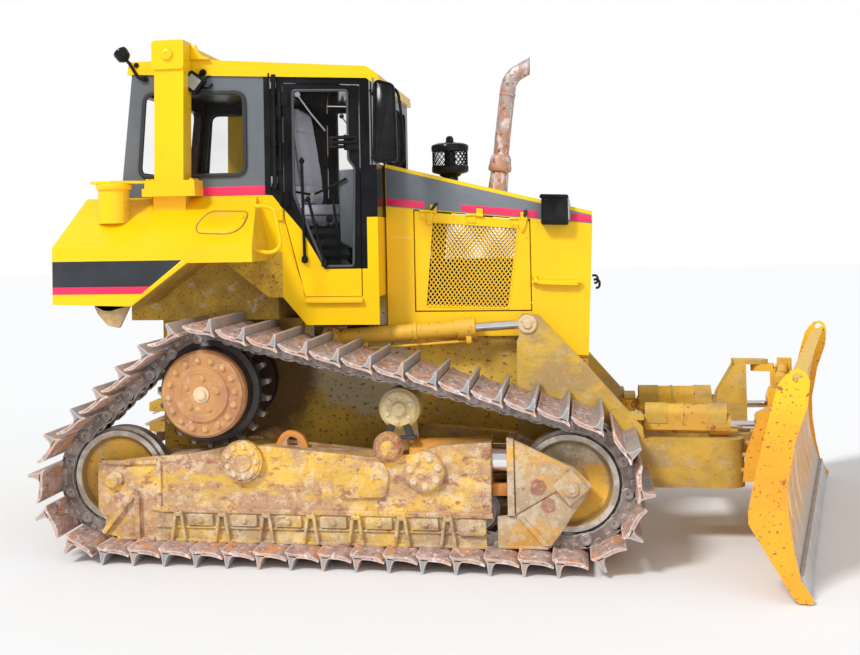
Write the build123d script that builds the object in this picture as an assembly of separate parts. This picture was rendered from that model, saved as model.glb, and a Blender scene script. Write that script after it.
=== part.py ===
"""Crawler bulldozer with a raised drive sprocket, a six-way blade and an enclosed cab.

Millimetres. +X is the driving direction, +Y the left side, +Z up, and the ground is Z = 0.
Pieces of one side are made for the right side (-Y) and mirrored to the left.
"""

import os
from math import atan2, cos, hypot, pi, radians, sin, tan

from build123d import *

os.makedirs("parts", exist_ok=True)

# ---------------------------------------------------------------- driving sizes
FIT = 0.3                      # gap left between faces that seat on each other

# tracks
TRACK_Y = 1000.0               # centre of each track from the middle of the machine
SHOE_WIDTH = 760.0
PITCH = 171.0                  # nominal distance from one chain pin to the next
GROUSER = 62.0                 # height of the bar on each shoe
SHOE_PLATE = 14.0
LINK_HEIGHT = 90.0
RAIL_INNER = 52.0              # chain rails, measured from the chain's middle
RAIL_OUTER = 92.0
IDLER_TREAD = 250.0            # radius on which the chain runs
IDLER_Z = GROUSER + SHOE_PLATE + LINK_HEIGHT + IDLER_TREAD
FRONT_IDLER_X = 579.0
REAR_IDLER_X = -1855.0
SPROCKET_X = -1333.0
SPROCKET_Z = 885.0
SPROCKET_PITCH_R = 291.0
SPROCKET_TEETH = 21
CARRIER_X = -298.0
CARRIER_Z = 797.0
CARRIER_R = 108.0
ROLLER_R = 95.0
ROLLER_COUNT = 7
ROLLER_FIRST_X = -1440.0
ROLLER_LAST_X = 100.0

# track roller frames
FRAME_HALF = 120.0             # half the width of the box section
SKIRT = 22.0                   # side plates outside the box section
PIVOT_X, PIVOT_Z = -1142.0, 521.0      # rear pivot shaft of the roller frames
EQUALIZER_X, EQUALIZER_Z = -353.0, 589.0

# chassis
BODY_HALF = TRACK_Y - 570.0     # half width of the main frame
BELLY_Z = 440.0
NOSE_X = 690.0                 # front of the main frame
TAIL_X = -1800.0
CASE_TOP_Z = 1240.0

# hood
HOOD_HALF = 450.0
HOOD_REAR_X, HOOD_FRONT_X = -440.0, 731.0
HOOD_REAR_Z, HOOD_FRONT_Z = 2127.0, 1829.0
BAND_REAR_Z, BAND_FRONT_Z = 1878.0, 1756.0     # lower edge of the dark band
PANEL_BOTTOM_Z = 1250.0
SKIN = 12.0                    # sheet panels with their folded edges

# cab
CAB_HALF = 720.0
CAB_WALL = 40.0
CAB_REAR_X, CAB_FRONT_X = -1955.0, -450.0
CAB_FLOOR_Z = 1372.0
CAB_TOP = [(-1878.0, 2672.0), (-500.0, 2600.0), (CAB_FRONT_X, 2560.0)]     # where the roof sits
HINGE_X = -1000.0              # door hinge line
HINGE_OUT = 14.0               # hinge line outside the cab wall
KNUCKLE = 80.0                 # length of each hinge knuckle
DOOR_HINGES_Z = (1930.0, 2210.0, 2500.0)
DOOR_REAR_X = -982.0
DOOR_FRONT_X = -530.0
DOOR_BOTTOM_Z = 1362.0
ROOF_REAR_Z, ROOF_FRONT_Z = 2747.0, 2664.0

ROOF_OVER = 12.0               # roof's overhang past the cab wall
CAB_SILL_Z = 1945.0            # lower edge of the cab's rear
CAB_BELLY = [(-1080.0, CAB_FLOOR_Z), (-1500.0, 1700.0), (-1670.0, CAB_SILL_Z)]

# tank and fenders
TANK_HALF = 1120.0
TANK_REAR_X, TANK_FRONT_X = -2222.0, -1081.0
TANK_EDGE_Z = 1676.0
TANK_TOP_Z = 1955.0

# roll-over frame
POST_REAR_X, POST_FRONT_X = -1694.0, -1524.0
POST_TOP_Z = 2838.0
POST_WIDE = 160.0
FLANGE_X = (-1767.0, -1457.0)
FLANGE = 45.0                  # thickness of each of the two foot flanges

# blade gear
TRUNNION_X, TRUNNION_Z = -180.0, 540.0
ARM_OUT = TRACK_Y - SHOE_WIDTH / 2 - 15.0      # outer face of the push arms, inside the tracks
ARM_IN = ARM_OUT - 105.0
LIFT_Y = (ARM_OUT + ARM_IN) / 2
LIFT_REAR = (-749.0, 1129.0)
LIFT_LUG = 70.0                # reach of the lift cylinder's lug from the main frame
LIFT_FRONT = (362.0, 1205.0)
ANGLE_AXIS_X = 1665.0
EDGE_BACK_Z = 52.0             # lower edge of the mouldboard, where the cutting edge is bolted
END_EYE = (283.0, 1028.0)      # lifting eye of the end plates
RIB_Y = 785.0
BALL_Z = 480.0
BEAM_FRONT_X = 1514.0          # front of the push frame's cross beam
BLADE_ANGLE = 10.84            # the left end stands this far forward, in degrees
BLADE_HALF = 1735.0
BLADE_SHIFT = 11.0             # the mouldboard's middle stands this far left of the ball
ANGLE_REAR = (938.0, ARM_IN - 64.0)    # x and distance from the middle of the rear pins
ANGLE_PIN = (40.0, 480.0)      # front pins in the blade yoke, from the angle axis
ANGLE_Z = 640.0


# ---------------------------------------------------------------- forms
def box(x0, x1, y0, y1, z0, z1):
    return Pos((x0 + x1) / 2, (y0 + y1) / 2, (z0 + z1) / 2) * Box(abs(x1 - x0), abs(y1 - y0), abs(z1 - z0))


def side_plate(points, y0, y1, radius=0):
    """A profile of (x, z) points, given its thickness from y0 to y1."""
    face = make_face(Polyline(*[(x, y0, z) for x, z in points], close=True))
    if radius:
        face = fillet(face.vertices(), radius)
    return extrude(face, amount=y1 - y0, dir=(0, 1, 0))


def plan_plate(points, z0, z1, radius=0):
    """A profile of (x, y) points, given its thickness from z0 to z1."""
    face = make_face(Polyline(*[(x, y, z0) for x, y in points], close=True))
    if radius:
        face = fillet(face.vertices(), radius)
    return extrude(face, amount=z1 - z0, dir=(0, 0, 1))


def cross_plate(points, x0, x1, radius=0):
    """A profile of (y, z) points, given its thickness from x0 to x1."""
    face = make_face(Polyline(*[(x0, y, z) for y, z in points], close=True))
    if radius:
        face = fillet(face.vertices(), radius)
    return extrude(face, amount=x1 - x0, dir=(1, 0, 0))


def rod(start, end, radius):
    """A round bar from one point to another."""
    direction = Vector(*end) - Vector(*start)
    plane = Plane(origin=start, z_dir=direction)
    return plane * Cylinder(radius, direction.length, align=(Align.CENTER, Align.CENTER, Align.MIN))


def drum(x, z, radius, y0, y1):
    return rod((x, min(y0, y1), z), (x, max(y0, y1), z), radius)


def turned(x, z, profile):
    """A turned piece on an axis along Y; the profile is (y, radius) points with the axis added."""
    points = [(profile[0][0], 0)] + list(profile) + [(profile[-1][0], 0)]
    face = make_face(Polyline(*[(x, y, z + r) for y, r in points], close=True))
    return revolve(face, axis=Axis((x, 0, z), (0, 1, 0)))


def left_of(shape):
    return mirror(shape, about=Plane.XZ)


def save(shape, name):
    export_step(shape, f"parts/{name}.step")


def save_pair(shape, name):
    save(shape, name + "_right")
    save(left_of(shape), name + "_left")


# ---------------------------------------------------------------- track belt
def belt():
    """The chain's middle line round sprocket, idlers and carrier roller, as lines and arcs."""
    half_link = LINK_HEIGHT / 2
    wheels = [  # x, z, radius of the chain's middle line
        (REAR_IDLER_X, IDLER_Z, IDLER_TREAD + half_link),
        (FRONT_IDLER_X, IDLER_Z, IDLER_TREAD + half_link),
        (CARRIER_X, CARRIER_Z, CARRIER_R + half_link),
        (SPROCKET_X, SPROCKET_Z, SPROCKET_PITCH_R),
    ]
    normals = []
    for (x1, z1, r1), (x2, z2, r2) in zip(wheels, wheels[1:] + wheels[:1]):
        length = hypot(x2 - x1, z2 - z1)
        ux, uz = (x2 - x1) / length, (z2 - z1) / length
        lean = (r1 - r2) / length
        stand = (1 - lean * lean) ** 0.5
        normals.append((ux * lean + uz * stand, uz * lean - ux * stand))
    pieces = []
    for i, (x, z, r) in enumerate(wheels):
        before, after = normals[i - 1], normals[i]
        a0 = atan2(before[1], before[0])
        sweep = (atan2(after[1], after[0]) - a0) % (2 * pi)
        pieces.append(("arc", (x, z), r, a0, sweep))
        xn, zn, rn = wheels[(i + 1) % len(wheels)]
        start = (x + after[0] * r, z + after[1] * r)
        end = (xn + after[0] * rn, zn + after[1] * rn)
        pieces.append(("line", start, end, after, hypot(end[0] - start[0], end[1] - start[1])))
    return pieces


BELT = belt()


def belt_length():
    return sum(p[2] * p[4] if p[0] == "arc" else p[4] for p in BELT)


def belt_point(s):
    """Point on the belt, and its outward normal, at the length s."""
    for p in BELT:
        length = p[2] * p[4] if p[0] == "arc" else p[4]
        if s <= length:
            if p[0] == "arc":
                a = p[3] + s / p[2]
                n = (cos(a), sin(a))
                return (p[1][0] + n[0] * p[2], p[1][1] + n[1] * p[2]), n
            t = s / length
            return (p[1][0] + (p[2][0] - p[1][0]) * t, p[1][1] + (p[2][1] - p[1][1]) * t), p[3]
        s -= length
    return belt_point(0)


def belt_prism(offset, y0, y1):
    """The area inside the belt, offset outward, extruded from y0 to y1."""
    edges = []
    for p in BELT:
        if p[0] == "arc":
            (cx, cz), r, a0, sweep = p[1], p[2] + offset, p[3], p[4]
            spots = [(cx + r * cos(a), y0, cz + r * sin(a)) for a in (a0, a0 + sweep / 2, a0 + sweep)]
            edges.append(ThreePointArc(*spots))
        else:
            (x1, z1), (x2, z2), (nx, nz) = p[1], p[2], p[3]
            edges.append(Line((x1 + nx * offset, y0, z1 + nz * offset), (x2 + nx * offset, y0, z2 + nz * offset)))
    face = make_face(Wire(edges))
    return extrude(face, amount=y1 - y0, dir=(0, 1, 0))


def track():
    half = LINK_HEIGHT / 2
    shape = None
    for y0, y1 in ((-RAIL_OUTER, -RAIL_INNER), (RAIL_INNER, RAIL_OUTER)):
        rail = belt_prism(half, y0 - TRACK_Y, y1 - TRACK_Y) - belt_prism(-half + FIT, y0 - TRACK_Y - 1, y1 - TRACK_Y + 1)
        shape = rail if shape is None else shape + rail
    count = round(belt_length() / PITCH)
    step = belt_length() / count
    plate = half + SHOE_PLATE
    profile = [  # along the belt, out from the chain's middle line
        (-0.49 * step, half - 8), (-0.36 * step, half + 8), (-0.34 * step, plate + GROUSER - 6),
        (-0.32 * step, plate + GROUSER), (-0.27 * step, plate + GROUSER), (-0.25 * step, plate + 4),
        (0.15 * step, plate + 2), (0.52 * step, plate + 24), (0.54 * step, plate + 14),
        (0.30 * step, half - 1), (-0.32 * step, half - 1),
    ]
    shoes = []
    for i in range(count):
        (x, z), (nx, nz) = belt_point((i + 0.5) * step)
        tx, tz = -nz, nx
        points = [(x + tx * t + nx * n, z + tz * t + nz * n) for t, n in profile]
        shoes.append(side_plate(points, -TRACK_Y - SHOE_WIDTH / 2, -TRACK_Y + SHOE_WIDTH / 2))
    return shape + shoes


# ---------------------------------------------------------------- undercarriage
def sprocket():
    root, tip = SPROCKET_PITCH_R - 30, SPROCKET_PITCH_R + 26
    points = []
    for i in range(SPROCKET_TEETH):
        middle = 2 * pi * (i + 0.5) / SPROCKET_TEETH
        for share, r in ((-0.30, root), (-0.12, tip), (0.12, tip), (0.30, root)):
            a = middle + share * 2 * pi / SPROCKET_TEETH
            points.append((SPROCKET_X + r * cos(a), SPROCKET_Z + r * sin(a)))
    wheel = side_plate(points, -TRACK_Y - 30, -TRACK_Y + 30)
    return wheel - drum(SPROCKET_X, SPROCKET_Z, HUB_SEAT_R + FIT, -TRACK_Y - 31, -TRACK_Y + 31)


HUB_SEAT_R = 205.0
HUB_FACE_Y = 1259.0


def final_drive():
    return turned(SPROCKET_X, SPROCKET_Z, [
        (-HUB_FACE_Y - 18, 45), (-HUB_FACE_Y - 6, 48), (-HUB_FACE_Y - 6, 142),
        (-HUB_FACE_Y, 150), (-HUB_FACE_Y, 218), (-HUB_FACE_Y + 22, 232),
        (-TRACK_Y - 31, 232), (-TRACK_Y - 31, HUB_SEAT_R), (-TRACK_Y + 40, HUB_SEAT_R),
        (-TRACK_Y + 60, 226), (-TRACK_Y + 110, 226), (-TRACK_Y + 150, 170),
        (-BODY_HALF - 90, 170), (-BODY_HALF - 90, 235), (-BODY_HALF - FIT, 235),
    ])


def idler(x):
    r = IDLER_TREAD
    return turned(x, IDLER_Z, [
        (-TRACK_Y - 100, 46), (-TRACK_Y - 100, 70), (-TRACK_Y - 45, 96), (-TRACK_Y - 45, 190),
        (-TRACK_Y - 88, 222), (-TRACK_Y - 92, r), (-TRACK_Y - 48, r), (-TRACK_Y - 40, r + 18),
        (-TRACK_Y + 40, r + 18), (-TRACK_Y + 48, r), (-TRACK_Y + 92, r), (-TRACK_Y + 88, 222),
        (-TRACK_Y + 45, 190), (-TRACK_Y + 45, 96), (-TRACK_Y + 100, 70), (-TRACK_Y + 100, 46),
    ])


def idlers():
    return Compound([idler(FRONT_IDLER_X), idler(REAR_IDLER_X)])


def roller(x):
    z = GROUSER + SHOE_PLATE + LINK_HEIGHT + ROLLER_R
    return turned(x, z, [
        (-TRACK_Y - FRAME_HALF + FIT, 34), (-TRACK_Y - 96, 34), (-TRACK_Y - 96, ROLLER_R), (-TRACK_Y - 49, ROLLER_R),
        (-TRACK_Y - 44, ROLLER_R + 20), (-TRACK_Y - 30, ROLLER_R + 20), (-TRACK_Y - 24, ROLLER_R - 20),
        (-TRACK_Y + 24, ROLLER_R - 20), (-TRACK_Y + 30, ROLLER_R + 20), (-TRACK_Y + 44, ROLLER_R + 20),
        (-TRACK_Y + 49, ROLLER_R), (-TRACK_Y + 96, ROLLER_R), (-TRACK_Y + 96, 34), (-TRACK_Y + FRAME_HALF - FIT, 34),
    ])


def rollers():
    step = (ROLLER_LAST_X - ROLLER_FIRST_X) / (ROLLER_COUNT - 1)
    return Compound([roller(ROLLER_FIRST_X + i * step) for i in range(ROLLER_COUNT)])


FRAME_FLOOR_Z = 385.0          # underside of the box section, over the rollers
SKIRT_Z = 250.0                # lower edge of the side skirts


def track_frame():
    top = [
        (-1632, 536), (-1480, 546), (-1330, 572), (PIVOT_X - 100, 592), (PIVOT_X + 120, 598),
        (-460, 545), (-250, 560), (-80, 612), (180, 628),
    ]
    outline = [(-1560, FRAME_FLOOR_Z), (-1560, 540)] + top[1:] + [(180, FRAME_FLOOR_Z)]
    body = side_plate(outline, -TRACK_Y - FRAME_HALF, -TRACK_Y + FRAME_HALF)
    skirt = [(-1632, SKIRT_Z)] + top + [(180, SKIRT_Z)]
    rear = [(-1960, 500), (-1630, 536), (-1630, 86), (-1850, 86), (-1960, 250)]
    for y0 in (-TRACK_Y - FRAME_HALF - SKIRT, -TRACK_Y + FRAME_HALF):
        body += side_plate(skirt, y0, y0 + SKIRT)
        body += side_plate(rear, y0, y0 + SKIRT)
    for y0, y1 in ((-TRACK_Y - FRAME_HALF, -TRACK_Y - 100 - FIT), (-TRACK_Y + 100 + FIT, -TRACK_Y + FRAME_HALF)):
        body += drum(REAR_IDLER_X, IDLER_Z, 44, y0, y1)
    face = -TRACK_Y - FRAME_HALF - SKIRT
    body += drum(PIVOT_X, PIVOT_Z, 112, face - 40, face)
    body += drum(-164, 480, 105, face - 34, face)
    body += drum(PIVOT_X, PIVOT_Z, 90, -TRACK_Y + FRAME_HALF + SKIRT, -BODY_HALF - FIT)
    body += drum(REAR_IDLER_X, IDLER_Z, 38, face - 18, face)
    body += side_plate([(-640, 500), (-600, 540), (-380, 520), (-360, 470), (-380, 350), (-620, 350), (-650, 400)],
                       face - 16, face, 20)
    eye = drum(-889, 600, 62, -TRACK_Y - 60, -TRACK_Y - 20) - drum(-889, 610, 30, -TRACK_Y - 61, -TRACK_Y - 19)
    body += eye & box(-980, -800, -TRACK_Y - 60, -TRACK_Y - 20, 560, 700)
    body += Pos(EQUALIZER_X, face + 20, EQUALIZER_Z) * Sphere(76)
    body -= drum(SPROCKET_X, SPROCKET_Z, SPROCKET_PITCH_R + 34, -TRACK_Y - 42, -TRACK_Y + 42)
    return body


def roller_guard():
    z0, z1 = 85.0, SKIRT_Z - FIT
    face = -TRACK_Y - FRAME_HALF - SKIRT
    shape = None
    for y0 in (face, -TRACK_Y + FRAME_HALF):
        plate = side_plate([(-1630, z0), (150, z0), (150, z1), (-1630, z1)], y0, y0 + SKIRT)
        shape = plate if shape is None else shape + plate
    for x in RIB_X:
        for lean in (-1, 1):
            foot, head = x + lean * 34, x + lean * 12
            shape += side_plate([(foot - 7, z0 + 10), (foot + 7, z0 + 10), (head + 7, z1), (head - 7, z1)],
                                face - 26, face)
    return Compound(shape.solids())


RIB_X = [-1500 + 242 * i for i in range(7)]


def idler_yoke():
    outline = [(262, 655), (298, 645), (603, 505), (690, 420), (650, 345), (600, 280), (550, 195), (470, 88),
               (208, 88), (208, 247), (262, 255)]
    shape = None
    for y0 in (-TRACK_Y - FRAME_HALF - SKIRT, -TRACK_Y + FRAME_HALF):
        plate = side_plate(outline, y0, y0 + SKIRT)
        shape = plate if shape is None else shape + plate
    shape += box(262, 298, -TRACK_Y - FRAME_HALF, -TRACK_Y + FRAME_HALF, 400, 640)
    shape += rod((180 + FIT, -TRACK_Y, 524), (262, -TRACK_Y, 524), 80)
    face = -TRACK_Y - FRAME_HALF - SKIRT
    shape += box(262, 298, face - 16, face, 258, 640)
    block = Pos(FRONT_IDLER_X + 8, 0, IDLER_Z) * Rot(0, -40, 0) * Box(130, 20, 130)
    shape += Pos(0, face - 10, 0) * block
    for y0, y1 in ((-TRACK_Y - FRAME_HALF, -TRACK_Y - 100 - FIT), (-TRACK_Y + 100 + FIT, -TRACK_Y + FRAME_HALF)):
        shape += drum(FRONT_IDLER_X, IDLER_Z, 44, y0, y1)
    return shape


def carrier_roller():
    shape = turned(CARRIER_X, CARRIER_Z, [
        (-TRACK_Y - 120, 60), (-TRACK_Y - 120, 92), (-TRACK_Y - 104, CARRIER_R - FIT),
        (-TRACK_Y + 92, CARRIER_R - FIT), (-TRACK_Y + 92, 50), (-TRACK_Y + FRAME_HALF - 1, 50),
    ])
    post = side_plate([(-380, 551.2), (-250, 560.3), (-215, 571.2), (-250, 850), (-346, 850)], -TRACK_Y + 98, -TRACK_Y + 119)
    return shape + post


# ---------------------------------------------------------------- chassis
def main_frame():
    """Rear case, belly and side members; the engine sits between the side members."""
    shape = box(TAIL_X, -880, -BODY_HALF, BODY_HALF, BELLY_Z, CASE_TOP_Z)
    shape += box(-880, NOSE_X, -BODY_HALF, BODY_HALF, BELLY_Z, BELLY_Z + 40)
    for y0, y1 in ((-BODY_HALF, -BODY_HALF + 40), (BODY_HALF - 40, BODY_HALF)):
        shape += box(-880, NOSE_X - 60, y0, y1, BELLY_Z, PANEL_BOTTOM_Z - 122)
    shape += box(NOSE_X - 60, NOSE_X, -BODY_HALF, BODY_HALF, BELLY_Z, 1010 - FIT)
    shape += box(-330, 280, -BODY_HALF + 20, BODY_HALF - 20, BELLY_Z + 20, 520 - FIT)
    shape -= box(EQUALIZER_X - 55 - FIT, EQUALIZER_X + 55 + FIT, -BODY_HALF - 1, BODY_HALF + 1,
                 EQUALIZER_Z - 45 - FIT, EQUALIZER_Z + 45 + FIT)
    for side in (-1, 1):
        shape += drum(TRUNNION_X, TRUNNION_Z, 95, side * (BODY_HALF - 10), side * (ARM_IN - 6))
        shape += drum(TRUNNION_X, TRUNNION_Z, 45, side * BODY_HALF, side * ARM_OUT)
        lug = side_plate([(-860, 900), (-640, 900), (-690, 1190), (-810, 1190)], BODY_HALF - 20, BODY_HALF + LIFT_LUG)
        shape += lug if side > 0 else left_of(lug)
        shape += drum(LIFT_REAR[0], LIFT_REAR[1], 32, side * BODY_HALF, side * (LIFT_Y + 52))
    return shape


def engine_block():
    return box(-280, 350, -250, 250, 520, 1560)


def radiator_guard():
    """Cast frame round the radiator grille at the front of the hood."""
    x0, x1 = HOOD_FRONT_X - 90, HOOD_FRONT_X - 1
    half = HOOD_HALF - SKIN - FIT
    shape = side_plate([(x0, 1010), (x1 - 36, 1010), (x1, BAND_FRONT_Z - FIT), (x0, BAND_FRONT_Z - FIT)], -half, half)
    shape -= box(x0 - 1, x1 + 1, -340, 340, 1110, 1690)
    for i in range(11):
        z = 1135 + i * 50
        shape += box(x0 + 50, x0 + 62, -340, 340, z, z + 14)
    return shape


def hood_line(x):
    return HOOD_REAR_Z + (HOOD_FRONT_Z - HOOD_REAR_Z) * (x - HOOD_REAR_X) / (HOOD_FRONT_X - HOOD_REAR_X)


def band_line(x):
    return BAND_REAR_Z + (BAND_FRONT_Z - BAND_REAR_Z) * (x - HOOD_REAR_X) / (HOOD_FRONT_X - HOOD_REAR_X)


GRILLE_REAR_X, GRILLE_FRONT_X = -276.0, 380.0
GRILLE_BOTTOM_Z = 1275.0
PANEL_GAP = 6.0
GRILLE_HINGES_X = (-215.0, 50.0, 300.0)
HINGE_STAND = 9.0              # hinge line outside the hood's side
DROP = 5.0                     # hinge line below the band's edge


def grille_axis(x, side=-1):
    return (x, side * (HOOD_HALF + HINGE_STAND), band_line(x) - DROP)


def grille_knuckle(x0, x1, reach, side=-1):
    """One knuckle of the grille door's hinge, with its strap running up or down by reach."""
    y0, y1 = sorted((side * HOOD_HALF, side * (HOOD_HALF + HINGE_STAND)))
    strap = [(x, grille_axis(x)[2] + z) for x, z in ((x0 + 2, 0), (x1 - 2, 0), (x1 - 2, reach), (x0 + 2, reach))]
    return rod(grille_axis(x0, side), grille_axis(x1, side), 8) + side_plate(strap, y0, y1)


EXHAUST_FOOT = (170.0, 60.0, 1900.0)
EXHAUST_ELBOW = (258.0, 60.0, 2640.0)
EXHAUST_R = 48.0
PRECLEANER_X, PRECLEANER_Y = -93.0, -120.0


def hood():
    x0, x1 = HOOD_REAR_X, HOOD_FRONT_X
    outline = [(x0, band_line(x0)), (x1, band_line(x1)), (x1, hood_line(x1)), (x0, hood_line(x0))]
    inner = [(x0 - 1, band_line(x0) - 20), (x1 - SKIN, band_line(x1) - 20),
             (x1 - SKIN, hood_line(x1) - SKIN), (x0 - 1, hood_line(x0) - SKIN)]
    shape = side_plate(outline, -HOOD_HALF, HOOD_HALF)
    long_edges = shape.edges().filter_by(lambda e: e.length > 1000).sort_by(Axis.Z)[-2:]
    shape = fillet(long_edges, 18)
    shape -= side_plate(inner, -HOOD_HALF + SKIN, HOOD_HALF - SKIN)
    for x in GRILLE_HINGES_X:
        for side in (-1, 1):
            shape += grille_knuckle(x + 30 + FIT, x + 70, 40, side)
    shape -= rod(EXHAUST_FOOT, EXHAUST_ELBOW, EXHAUST_R + FIT)
    return shape - Pos(PRECLEANER_X, PRECLEANER_Y, 2060) * Cylinder(40 + FIT, 200)


def side_panels():
    """Fixed engine panels behind and in front of the grille door, with the sill below it."""
    y0, y1 = -HOOD_HALF, -HOOD_HALF + SKIN
    rear = [(HOOD_REAR_X, PANEL_BOTTOM_Z), (GRILLE_REAR_X - PANEL_GAP, PANEL_BOTTOM_Z),
            (GRILLE_REAR_X - PANEL_GAP, band_line(GRILLE_REAR_X) - FIT), (HOOD_REAR_X, band_line(HOOD_REAR_X) - FIT)]
    front = [(GRILLE_FRONT_X + PANEL_GAP, 1020), (HOOD_FRONT_X - 36, 1020), (HOOD_FRONT_X, band_line(HOOD_FRONT_X) - FIT),
             (GRILLE_FRONT_X + PANEL_GAP, band_line(GRILLE_FRONT_X + PANEL_GAP) - FIT)]
    sill = [(HOOD_REAR_X, 1130), (GRILLE_FRONT_X + PANEL_GAP, 1130),
            (GRILLE_FRONT_X + PANEL_GAP, GRILLE_BOTTOM_Z - PANEL_GAP), (HOOD_REAR_X, GRILLE_BOTTOM_Z - PANEL_GAP)]
    shape = side_plate(rear, y0, y1) + side_plate(front, y0, y1) + side_plate(sill, y0, y1)
    for p, q in (((395, 1435), (655, 1432)),):
        shape += rod((p[0], y0 - 28, p[1]), (q[0], y0 - 28, q[1]), 10)
        for x, z in (p, q):
            shape += rod((x, y0 - 30, z), (x, y0, z), 10)
    return shape


def grille_door():
    """Top-hinged door with a woven diamond mesh."""
    y0, y1 = -HOOD_HALF, -HOOD_HALF + 22
    z_rear = band_line(GRILLE_REAR_X) - PANEL_GAP - 4
    z_front = band_line(GRILLE_FRONT_X) - PANEL_GAP - 4
    shape = side_plate([(GRILLE_REAR_X, GRILLE_BOTTOM_Z), (GRILLE_FRONT_X, GRILLE_BOTTOM_Z),
                        (GRILLE_FRONT_X, z_front), (GRILLE_REAR_X, z_rear)], y0, y1)
    window = box(-208, 303, y0 - 1, y1 + 1, 1300, 1745)
    shape -= window
    bars = []
    for lean in (-1, 1):
        for i in range(-12, 30):
            x = -208 + i * 52
            run = 445 / tan(radians(60))
            p, q = (x, 1300), (x + lean * run, 1745)
            bars.append(side_plate([(p[0] - 5, p[1]), (p[0] + 5, p[1]), (q[0] + 5, q[1]), (q[0] - 5, q[1])],
                                   y0 + 8, y0 + 14))
    mesh = bars[0] + bars[1:]
    for x in GRILLE_HINGES_X:
        shape += grille_knuckle(x - 30, x + 30, -50)
    return shape + (mesh & window)


def precleaner():
    stack = Pos(PRECLEANER_X, PRECLEANER_Y, 0)
    return stack * (Pos(0, 0, 2030) * Cylinder(40, 110) + Pos(0, 0, 2100) * Cylinder(104, 40)
                    + Pos(0, 0, 2160) * Cylinder(98, 100) + Pos(0, 0, 2234) * Cylinder(112, 52)
                    + Pos(0, 0, 2284) * Cylinder(18, 50))


def exhaust():
    shape = rod(EXHAUST_FOOT, EXHAUST_ELBOW, EXHAUST_R) + rod((190, 60, 2075), (196, 60, 2120), 66)
    shape += Pos(*EXHAUST_ELBOW) * Sphere(EXHAUST_R)
    tip = rod(EXHAUST_ELBOW, (420, 60, 2745), EXHAUST_R)
    return shape + (tip - box(385, 520, -40, 160, 2500, 2900))


def work_lamps():
    shapes = []
    for side in (-1, 1):
        lamp = box(445, 600, side * (HOOD_HALF + FIT), side * (HOOD_HALF + 86), 1755, 1922)
        shapes.append(fillet(lamp.edges(), 10))
        y = side * (CAB_HALF + 130)
        arm = box(-1452, -1428, side * (CAB_HALF + FIT), side * (CAB_HALF + 80), 2580, 2604)
        shapes.append(box(-1490, -1390, y - 50, y + 50, 2520, 2620) + arm)
    return Compound(shapes)


# ---------------------------------------------------------------- cab
def cab_shell():
    """Cab walls: four sides with their windows and the door openings cut."""
    outline = [(CAB_REAR_X, CAB_SILL_Z), *CAB_TOP, (CAB_FRONT_X, CAB_FLOOR_Z), *CAB_BELLY]
    inner = [(-1895, 2000), (-1830, 2632), (-530, 2565), (CAB_FRONT_X - CAB_WALL, 2540),
             (CAB_FRONT_X - CAB_WALL, CAB_FLOOR_Z + 30), (-1060, CAB_FLOOR_Z + 30), (-1470, 1730), (-1670, 2000)]
    shape = side_plate(outline, -CAB_HALF, CAB_HALF)
    shape -= side_plate(inner, -CAB_HALF + CAB_WALL, CAB_HALF - CAB_WALL)
    window = side_plate([(-1838, 2075), (-1208, 2075), (-1208, 2545), (-1800, 2560)], -CAB_HALF - 1, CAB_HALF + 1, 55)
    shape -= window
    for side in (-1, 1):
        shape -= side_plate(door_outline(DOOR_GAP), side * (CAB_HALF - CAB_WALL - 1), side * (CAB_HALF + 1))
        skirt = [(-865, 1215), (CAB_FRONT_X, 1215), (CAB_FRONT_X, CAB_FLOOR_Z + 1), (-1000, CAB_FLOOR_Z + 1)]
        shape += side_plate(skirt, side * (CAB_HALF - 20), side * CAB_HALF)
        for z in DOOR_HINGES_Z:
            top = z - KNUCKLE / 2 - FIT
            shape += box(HINGE_X - 42, HINGE_X, side * (CAB_HALF - 5), side * (CAB_HALF + HINGE_OUT), top - KNUCKLE, top)
            y = side * (CAB_HALF + HINGE_OUT)
            shape += rod((HINGE_X, y, top - KNUCKLE), (HINGE_X, y, top), 11)
    half = CAB_HALF - 100
    shape -= cross_plate([(-half, 2120), (half, 2120), (half, 2500), (-half, 2500)], CAB_FRONT_X - CAB_WALL - 1,
                         CAB_FRONT_X + 1, 50)
    shape -= cross_plate([(-half, 2110), (half, 2110), (half, 2560), (-half, 2560)], CAB_REAR_X - 45, -1800, 50)
    return shape


def cab_roof():
    seat = [(x, z + 1.3 * FIT) for x, z in reversed(CAB_TOP)]
    rear, front = CAB_TOP[0], CAB_TOP[-1]
    outline = [(rear[0] - 27, rear[1] + 1.8), (rear[0] - 12, ROOF_REAR_Z - 2), (-1551, ROOF_REAR_Z + 3),
               (-500, ROOF_FRONT_Z + 4), (front[0] + 20, ROOF_FRONT_Z - 46), (front[0] + 26, front[1] + FIT)] + seat
    return side_plate(outline, -CAB_HALF - ROOF_OVER, CAB_HALF + ROOF_OVER)


def cab_glass():
    panes = []
    for side in (-1, 1):
        y = side * (CAB_HALF - 22)
        pane = side_plate([(-1845, 2068), (-1200, 2068), (-1200, 2552), (-1806, 2567)], y - 3, y + 3)
        panes.append(pane & side_plate([(-1838, 2075), (-1208, 2075), (-1208, 2545), (-1800, 2560)],
                                       -CAB_HALF - 1, CAB_HALF + 1, 55))
    half = CAB_HALF - 100
    panes.append(cross_plate([(-half, 2120), (half, 2120), (half, 2500), (-half, 2500)], CAB_FRONT_X - 24,
                             CAB_FRONT_X - 18, 50))
    return Compound(panes)


DOOR_GAP = 6.0


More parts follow.
